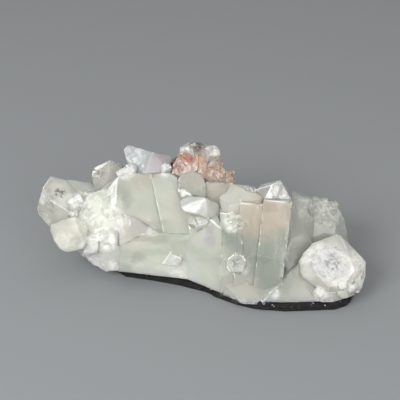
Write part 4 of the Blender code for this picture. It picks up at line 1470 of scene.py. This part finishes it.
# %% [markdown]
# Stilbite grows as sheaves of thin blades, pink to brown, on top of the ridge. Each broad sheaf is
# one block given by its corners, because its blades have grown together, and rounded lumps close
# the crust behind them. Blades modelled one by one would be lost in so small a crust.

# %% The stilbite crust
# the middle and half sizes of the lumps behind
STILBITE_LUMPS = (
    ((-5, 15, 36), (4.6, 4.2, 4.6)),
    ((-0.5, 15.5, 37), (5.2, 4.2, 4.2)),
    ((4.8, 14, 35), (4.2, 4.2, 3.8)),
    ((9, 12, 31), (4.2, 3.6, 3)),
    ((-9, 13.5, 34.5), (2.6, 3.4, 4)),
)
# the corners of the broad sheaves in front of them
SHEAVES = (
    (
        (-10.5, 7, 34.6), (-10, 9, 37.8), (-7.8, 10.8, 40.8), (-6.6, 12, 42),
        (-5.4, 9.8, 40), (-6.2, 6.2, 35), (-7.5, 15, 33), (-4, 15, 33),
    ),
    (
        (-7, 11.6, 41.6), (-5, 12, 42.2), (-3.4, 11.2, 41.6), (-3, 7, 37.6),
        (-4.6, 6, 35.8), (-6.6, 6.2, 35.2), (-6, 15, 33), (-3, 15, 33),
    ),
    (
        (-3.8, 12.2, 42), (-1.8, 12.4, 42.2), (-0.6, 11, 41.2), (-0.9, 7, 37.4),
        (-2.4, 6, 35.8), (-3.6, 6, 35.8), (-4, 15, 33), (0, 15, 33),
    ),
    (
        (-1, 12, 41.6), (1.6, 11.8, 41), (2.6, 10, 39), (2.4, 6.4, 33.6),
        (0.6, 6, 34.6), (-0.8, 6.4, 35.8), (0, 15, 32), (3, 15, 32),
    ),
    (
        (2.4, 11.4, 39.8), (4.2, 11.4, 39.8), (5, 9.6, 37.4), (4.6, 5.9, 32.4), (2.2, 5.9, 32.8),
        (2, 14, 31), (5, 14, 31),
    ),
    (
        (4.8, 11.2, 39), (6.8, 11, 38.6), (7.6, 9.4, 35.6), (7.2, 5.9, 31.6), (4.4, 5.9, 32),
        (4, 14, 31), (8, 14, 30),
    ),
    (
        (7.2, 10.8, 37.2), (9, 10.4, 36), (9.8, 8.8, 33.2), (9.4, 5.9, 31.4), (7, 5.9, 31.4),
        (7, 13, 29), (10, 12, 29),
    ),
    (
        (9.6, 10, 35.2), (11.4, 9.2, 33.6), (13.2, 7.2, 31.6), (12.6, 6.2, 31),
        (9.2, 5.9, 31), (9, 12, 29), (12, 11, 29),
    ),
)
LUMP_SHARE = 0.86  # the lumps are this much smaller than their half sizes, and noise adds to them


def lump(middle, half):
    """A rounded lump, from its middle and half sizes."""
    ball = bmesh.new()
    bmesh.ops.create_icosphere(ball, subdivisions=4, radius=1.0)
    for vert in ball.verts:
        place = Vector([m + LUMP_SHARE * h * c for m, h, c in zip(middle, half, vert.co)])
        swell = 0.7 * noise.noise(place * 0.35) + 0.4 * noise.noise(place * 1.1)
        vert.co = place + vert.co * swell
    return ball


def crust_relief(place):
    """How far the crust stands out at a place."""
    return 0.2 * noise.noise(place * 0.6) + 0.06 * noise.noise(place * 1.7)


lumps = [hull(corners) for corners in SHEAVES] + [lump(*form) for form in STILBITE_LUMPS]
stilbite = fused("stilbite_crust_body", lumps)
split_finely(stilbite, longest=0.7)
move_along_normals(stilbite, crust_relief)
shade(stilbite, sharp_angle=18)

# %% [markdown]
# The sheaves are streaked along their blades, so the finish starts from noise that is stretched
# that way. Red and orange stains, and the pale and dark ends, are spots as on the apophyllite.

# %% The pink stilbite finish
STILBITE_IOR = 1.5
PINK_DEEP = (0.54, 0.37, 0.30, 1)
PINK_PALE = (0.66, 0.49, 0.41, 1)
FLECK_PALE = (0.88, 0.80, 0.74, 1)
FLECK_DARK = (0.22, 0.12, 0.09, 1)

# middle, radius, colour, strength
STAINS = (
    ((-8, 8.5, 38), 4.4, (0.33, 0.17, 0.12, 1), 0.9),
    ((-4, 11, 40.6), 2.4, (0.50, 0.19, 0.13, 1), 0.8),
    ((-0.3, 11, 40), 1.8, (0.74, 0.50, 0.37, 1), 0.7),
    ((2.6, 10, 37), 1.4, (0.45, 0.22, 0.18, 1), 0.8),
    ((-10, 13, 37), 2.4, (0.28, 0.13, 0.10, 1), 0.9),
    ((-2.5, 6.5, 36), 3.6, (0.72, 0.60, 0.51, 1), 0.8),
    ((6.5, 8.5, 35), 4, (0.48, 0.36, 0.29, 1), 0.7),
    ((11, 9.5, 33.5), 3.2, (0.48, 0.38, 0.30, 1), 0.9),
)

pink, tree, surface = new_finish("pink_stilbite")
place = millimetres(tree)
lumpy = wandering(tree, place, 2.0, 2.0)
fibres = cloud(tree, place, 0.6, 4.0, 0.6, stretch=(1.0, 0.4, 0.2))
ground = mixed(tree, ramp(tree, fibres, 0.35, 0.65), PINK_DEEP, PINK_PALE)
tint = patched(tree, lumpy, ground, STAINS)

# the right side is flecked
right_side = ramp(tree, axes_of(tree, place)[0], 1.5, 4.0)
pale_flecks = ramp(tree, cloud(tree, place, 1.6, 3.0), 0.50, 0.62, 0.0, 0.55)
tint = mixed(tree, times(tree, right_side, pale_flecks), tint, FLECK_PALE)
dark_flecks = ramp(tree, cloud(tree, lumpy, 1.2, 3.0), 0.60, 0.68, 0.0, 0.7)
tint = mixed(tree, times(tree, right_side, dark_flecks), tint, FLECK_DARK)
plug_all(tree, surface, {
    "Base Color": tint,
    "Roughness": ramp(tree, cloud(tree, place, 0.8, 4.0), 0.3, 0.7, 0.08, 0.35),
    "Normal": bumped(tree, fibres, strength=0.25, distance=0.3 * MM),
    "IOR": STILBITE_IOR,
    "Transmission Weight": 0.4,
    "Subsurface Weight": 0.9,
    "Subsurface Radius": (1.0, 0.7, 0.55),
    "Subsurface Scale": 2.0 * MM,
})
coat(stilbite, pink)
print(pink.name, "has", len(tree.nodes), "nodes and", len(STAINS), "stains")

# %% [markdown]
# Single blades stand free behind the crust and at its right end. A blade is a flat prism with a
# pointed end, and the growth tree strews it with much scatter, because the ends of sheaves splay.

# %% Stilbite blades
def blade_density(place):
    """How dense the blades are at a place on the crust."""
    if place.y > 15 and place.z < 38:
        return 1.0
    return max(0.0, min(0.3, (place.x - 6) / 8))


store(stilbite, "blades", blade_density)
shaft = [(x, y, z) for x in (-0.42, 0.42) for y in (-0.13, 0.13) for z in (-0.8, 0.5)]
blade_seed = seedling("blade_seed", shaft + [(0, -0.1, 0.85), (0, 0.1, 0.85)])
blades = grown(
    "stilbite_blades", stilbite, Seedling=blade_seed, Where="blades", Most_per_mm2=0.1, Seed=2,
    Smallest=0.9, Largest=1.7, Follow=0.8, Scatter=0.6, Spin=1.0, Finish=pink,
)

# %% [markdown]
# A few clear crystals of the second growth stand on the stilbite. They came last, so nothing
# crowded them and they are whole prisms, made as the first ones were. They are fused into one
# piece, which rests in the crust, and have the clear finish.

# %% The crest crystals
CREST_PRISMS = (
    ("cap_left", (-4.5, 14, 43.5), (-0.3, 0.2, 0.9), (-0.4, -0.9, 0), 5.5, 5, 6, 1.5),
    ("cap_middle", (-1.5, 15, 43.8), (0.1, 0.3, 0.9), (0.3, -0.9, 0), 5, 5, 7, 1.5),
    ("cap_low", (0.8, 13.2, 43.4), (0.2, 0, 0.95), (-0.2, -0.9, 0), 4, 4, 6, 1),
    ("cap_right", (4.4, 12.3, 42.6), (0.15, -0.2, 0.95), (0.5, -0.9, 0), 5.5, 5, 7, 1.6),
)
crest_shapes = [softened(hull(prism_corners(*form)), 0.15) for _, *form in CREST_PRISMS]
crest = fused("crest_crystals_piece", crest_shapes)
split_finely(crest, longest=1.0)
add_relief(crest, swell=0.08, chip=0.25)
shade(crest)
coat(crest, glassy)

# %% [markdown]
# The basalt is the rock that the crystals grew on: black, fine-grained and broken. Only its broken
# rim shows. It is modelled as a rough plate with a flat underside, which is what the specimen
# stands on. Rings round its outline give the rim, and noise breaks it up.

# %% The basalt plate
# the plate's outline seen from above, from its left end round the front, and its height there
# in the middle of the front and under the ball the outline juts a little past the crystals' lower
# edge, so this black rim is partly painted shadow, the contact shadow under that edge
BASALT_AND_SHADOW_OUTLINE = (
    (-33, -4, 7.5), (-28, -8.7, 6.6), (-18, -10.9, 6), (-8, -13.9, 3.4), (2, -18, 2.7),
    (8, -22.4, 2.7), (13, -25.2, 2.7), (19, -27.4, 2.7), (30, -28.9, 3), (40, -28.3, 3),
    (48, -27.8, 3), (52.2, -25.9, 3), (55, -21.6, 3.5), (54.5, -14, 4), (53, -6, 6), (51, 4, 8),
    (44, 11, 8), (30, 15, 8), (10, 17, 8), (-10, 18, 8), (-27, 16, 8), (-38, 9, 9), (-40, 0, 9),
)
# share of the height, and how far out the ring stands there
BASALT_RINGS = ((0.0, -0.4), (0.3, 0.3), (0.7, 0.2), (1.0, -1.4))
INSIDE_TOP, INSIDE_SHARE = 3.0, 0.78  # the dished top: its height, and its share of the outline
ROUGH_FROM = 0.7  # mm: the rock is fully rough above this height, and flat underneath


def basalt_shape():
    """The rough plate: rings round its outline from the flat underside up, and a dished top."""
    shape = bmesh.new()
    count = len(BASALT_AND_SHADOW_OUTLINE)
    middle = sum((Vector((x, y, 0)) for x, y, _ in BASALT_AND_SHADOW_OUTLINE), Vector()) / count
    rings = []
    for share, stand_out in BASALT_RINGS:
        ring = []
        for x, y, height in BASALT_AND_SHADOW_OUTLINE:
            away = (Vector((x, y, 0)) - middle).normalized()
            ring.append(shape.verts.new(Vector((x, y, height * share)) + away * stand_out))
        rings.append(ring)
    lift = Vector((0, 0, INSIDE_TOP))
    inner = [middle.lerp(Vector((x, y, 0)), INSIDE_SHARE) + lift for x, y, _ in BASALT_AND_SHADOW_OUTLINE]
    rings.append([shape.verts.new(point) for point in inner])
    for lower, upper in zip(rings, rings[1:]):
        for k in range(count):
            n = (k + 1) % count
            shape.faces.new((lower[k], lower[n], upper[n], upper[k]))
    shape.faces.new(list(reversed(rings[0])))
    shape.faces.new(rings[-1])
    bmesh.ops.recalc_face_normals(shape, faces=shape.faces)
    return shape


def rough_rock(place):
    """How far the rock's surface stands out at a place; its underside stays flat."""
    rough = 0.9 * noise.noise(place * 0.45) + 0.6 * noise.noise(place * 1.2)
    return (rough - 0.25) * max(0.0, min(1.0, place.z / ROUGH_FROM))


basalt = to_object("basalt_plate", basalt_shape())
split_finely(basalt, longest=1.6)
move_along_normals(basalt, rough_rock)
shade(basalt, sharp_angle=35)

# %% [markdown]
# Basalt is nearly black and dull, a little lighter in clouds, with a few tiny bright grains that
# the growth tree strews on its rim.

# %% The basalt's finish and its grains
ROCK_BLACK = (0.004, 0.004, 0.004, 1)
ROCK_DARK = (0.02, 0.019, 0.018, 1)
ROCK_GREY = (0.07, 0.066, 0.06, 1)
GRAINS_FROM = 2.0  # mm: grains show only above this height

rock, tree, surface = new_finish("dark_basalt")
place = millimetres(tree)
stone = mixed(tree, cloud(tree, place, 1.2, 6.0, 0.7), ROCK_BLACK, ROCK_DARK)
stone = mixed(tree, ramp(tree, cloud(tree, place, 4.0), 0.6, 0.75), stone, ROCK_GREY)
plug_all(tree, surface, {
    "Base Color": stone,
    "Roughness": ramp(tree, cloud(tree, place, 0.8, 4.0), 0.3, 0.7, 0.6, 0.9),
    "Normal": bumped(tree, cloud(tree, place, 0.8, 6.0, 0.7), strength=0.8),
    "Specular IOR Level": 0.25,
})
coat(basalt, rock)

store(basalt, "grains", lambda place: 1.0 if place.z > GRAINS_FROM else 0.0)
grains = grown(
    "basalt_grains", basalt, Seedling=crystal_seed, Where="grains", Most_per_mm2=0.06, Seed=5,
    Smallest=0.2, Largest=0.4, Follow=1.0, Scatter=0.8, Spin=1.0, Finish=frosted,
)

# %% [markdown]
# The scene is a product stand: a plain pale floor, soft lamps and a camera at a natural height.
# Two large lamps from the front keep the shadows soft, and the world lights the rest, brighter
# from above, as a light tent does.

# %% Floor and lamps
FLOOR_HALF = 1500.0  # mm
FLOOR_GREY = (0.225, 0.235, 0.24, 1)
HORIZON, ZENITH = (0.40, 0.40, 0.40, 1), (0.82, 0.82, 0.82, 1)
LIT = Vector((0, 0, 0.02))  # where the lamps look, in metres

floor_shape = bmesh.new()
bmesh.ops.create_grid(floor_shape, x_segments=1, y_segments=1, size=FLOOR_HALF)
floor = to_object("floor", floor_shape)
stand, tree, surface = new_finish("pale_floor")
plug_all(tree, surface, {"Base Color": FLOOR_GREY, "Roughness": 0.9, "Specular IOR Level": 0.1})
coat(floor, stand)


def lamp(name, place, size, power):
    """A square area lamp that looks at the specimen; its place is in metres."""
    light = bpy.data.lights.new(name, "AREA")
    light.size = size
    light.energy = power
    thing = new_object(name, light)
    thing.location = place
    thing.rotation_euler = (LIT - Vector(place)).to_track_quat("-Z", "Y").to_euler()


# name, place, size in metres, power in watts
LAMPS = (
    ("key", (-0.40, -0.46, 0.46), 0.36, 4.8),
    ("front", (0.32, -0.60, 0.26), 0.5, 2.4),
)
for form in LAMPS:
    lamp(*form)

world = bpy.data.worlds.new("studio")
bpy.context.scene.world = world
world.use_nodes = True
tree = world.node_tree
way = axes_of(tree, add(tree, "ShaderNodeTexCoord").outputs["Generated"])
sky = mixed(tree, ramp(tree, way["Z"], 0.0, 0.9), HORIZON, ZENITH)
plug(tree, tree.nodes["Background"].inputs["Color"], sky)
bpy.context.scene.view_settings.view_transform = "Standard"
print(len(LAMPS), "lamps")

# %% [markdown]
# A long lens from a little over 300 mm keeps the crystals' edges nearly parallel, as the eye sees
# them from some way off, and looking down at 33 degrees shows the front and the top together.

# %% Camera
ELEVATION = math.radians(33)
DISTANCE = 0.32356  # metres
TARGET = in_frame((0.0, 0.0, 28.6))

camera = new_object("camera", bpy.data.cameras.new("camera"))
camera.data.lens = 80
camera.data.sensor_width = 36
camera.location = TARGET + Vector((0, -math.cos(ELEVATION), math.sin(ELEVATION))) * DISTANCE
camera.rotation_euler = (math.radians(90) - ELEVATION, 0, 0)
bpy.context.scene.camera = camera
print("camera at, mm:", [round(part / MM) for part in camera.location])

# %% [markdown]
# Last, each piece is tied to the frame's root body, and the solid of the frame that it stands for
# is hidden. Each row also names one of the record's finishes, which nothing here reads. The small
# shapes that were strewn aren't pieces, so they go.

# %% Tie the pieces to the frame
DRESSED = (
    (mass, "apophyllite_crystals", "green_apophyllite"),
    (clear, "apophyllite_crystals", "clear_apophyllite"),
    (druse, "apophyllite_crystals", "clear_apophyllite"),
    (veils, "apophyllite_crystals", "clear_apophyllite"),
    (stilbite, "stilbite_crust", "pink_stilbite"),
    (blades, "stilbite_crust", "pink_stilbite"),
    (crest, "crest_crystals", "clear_apophyllite"),
    (basalt, "basalt_matrix", "dark_basalt"),
    (grains, "basalt_matrix", "clear_apophyllite"),
)
for spare in (crystal_seed, flake_seed, blade_seed):
    bpy.data.objects.remove(spare)
for piece, node, slot_name in DRESSED:
    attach(piece, "root")
    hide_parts(node)

bpy.context.view_layer.update()
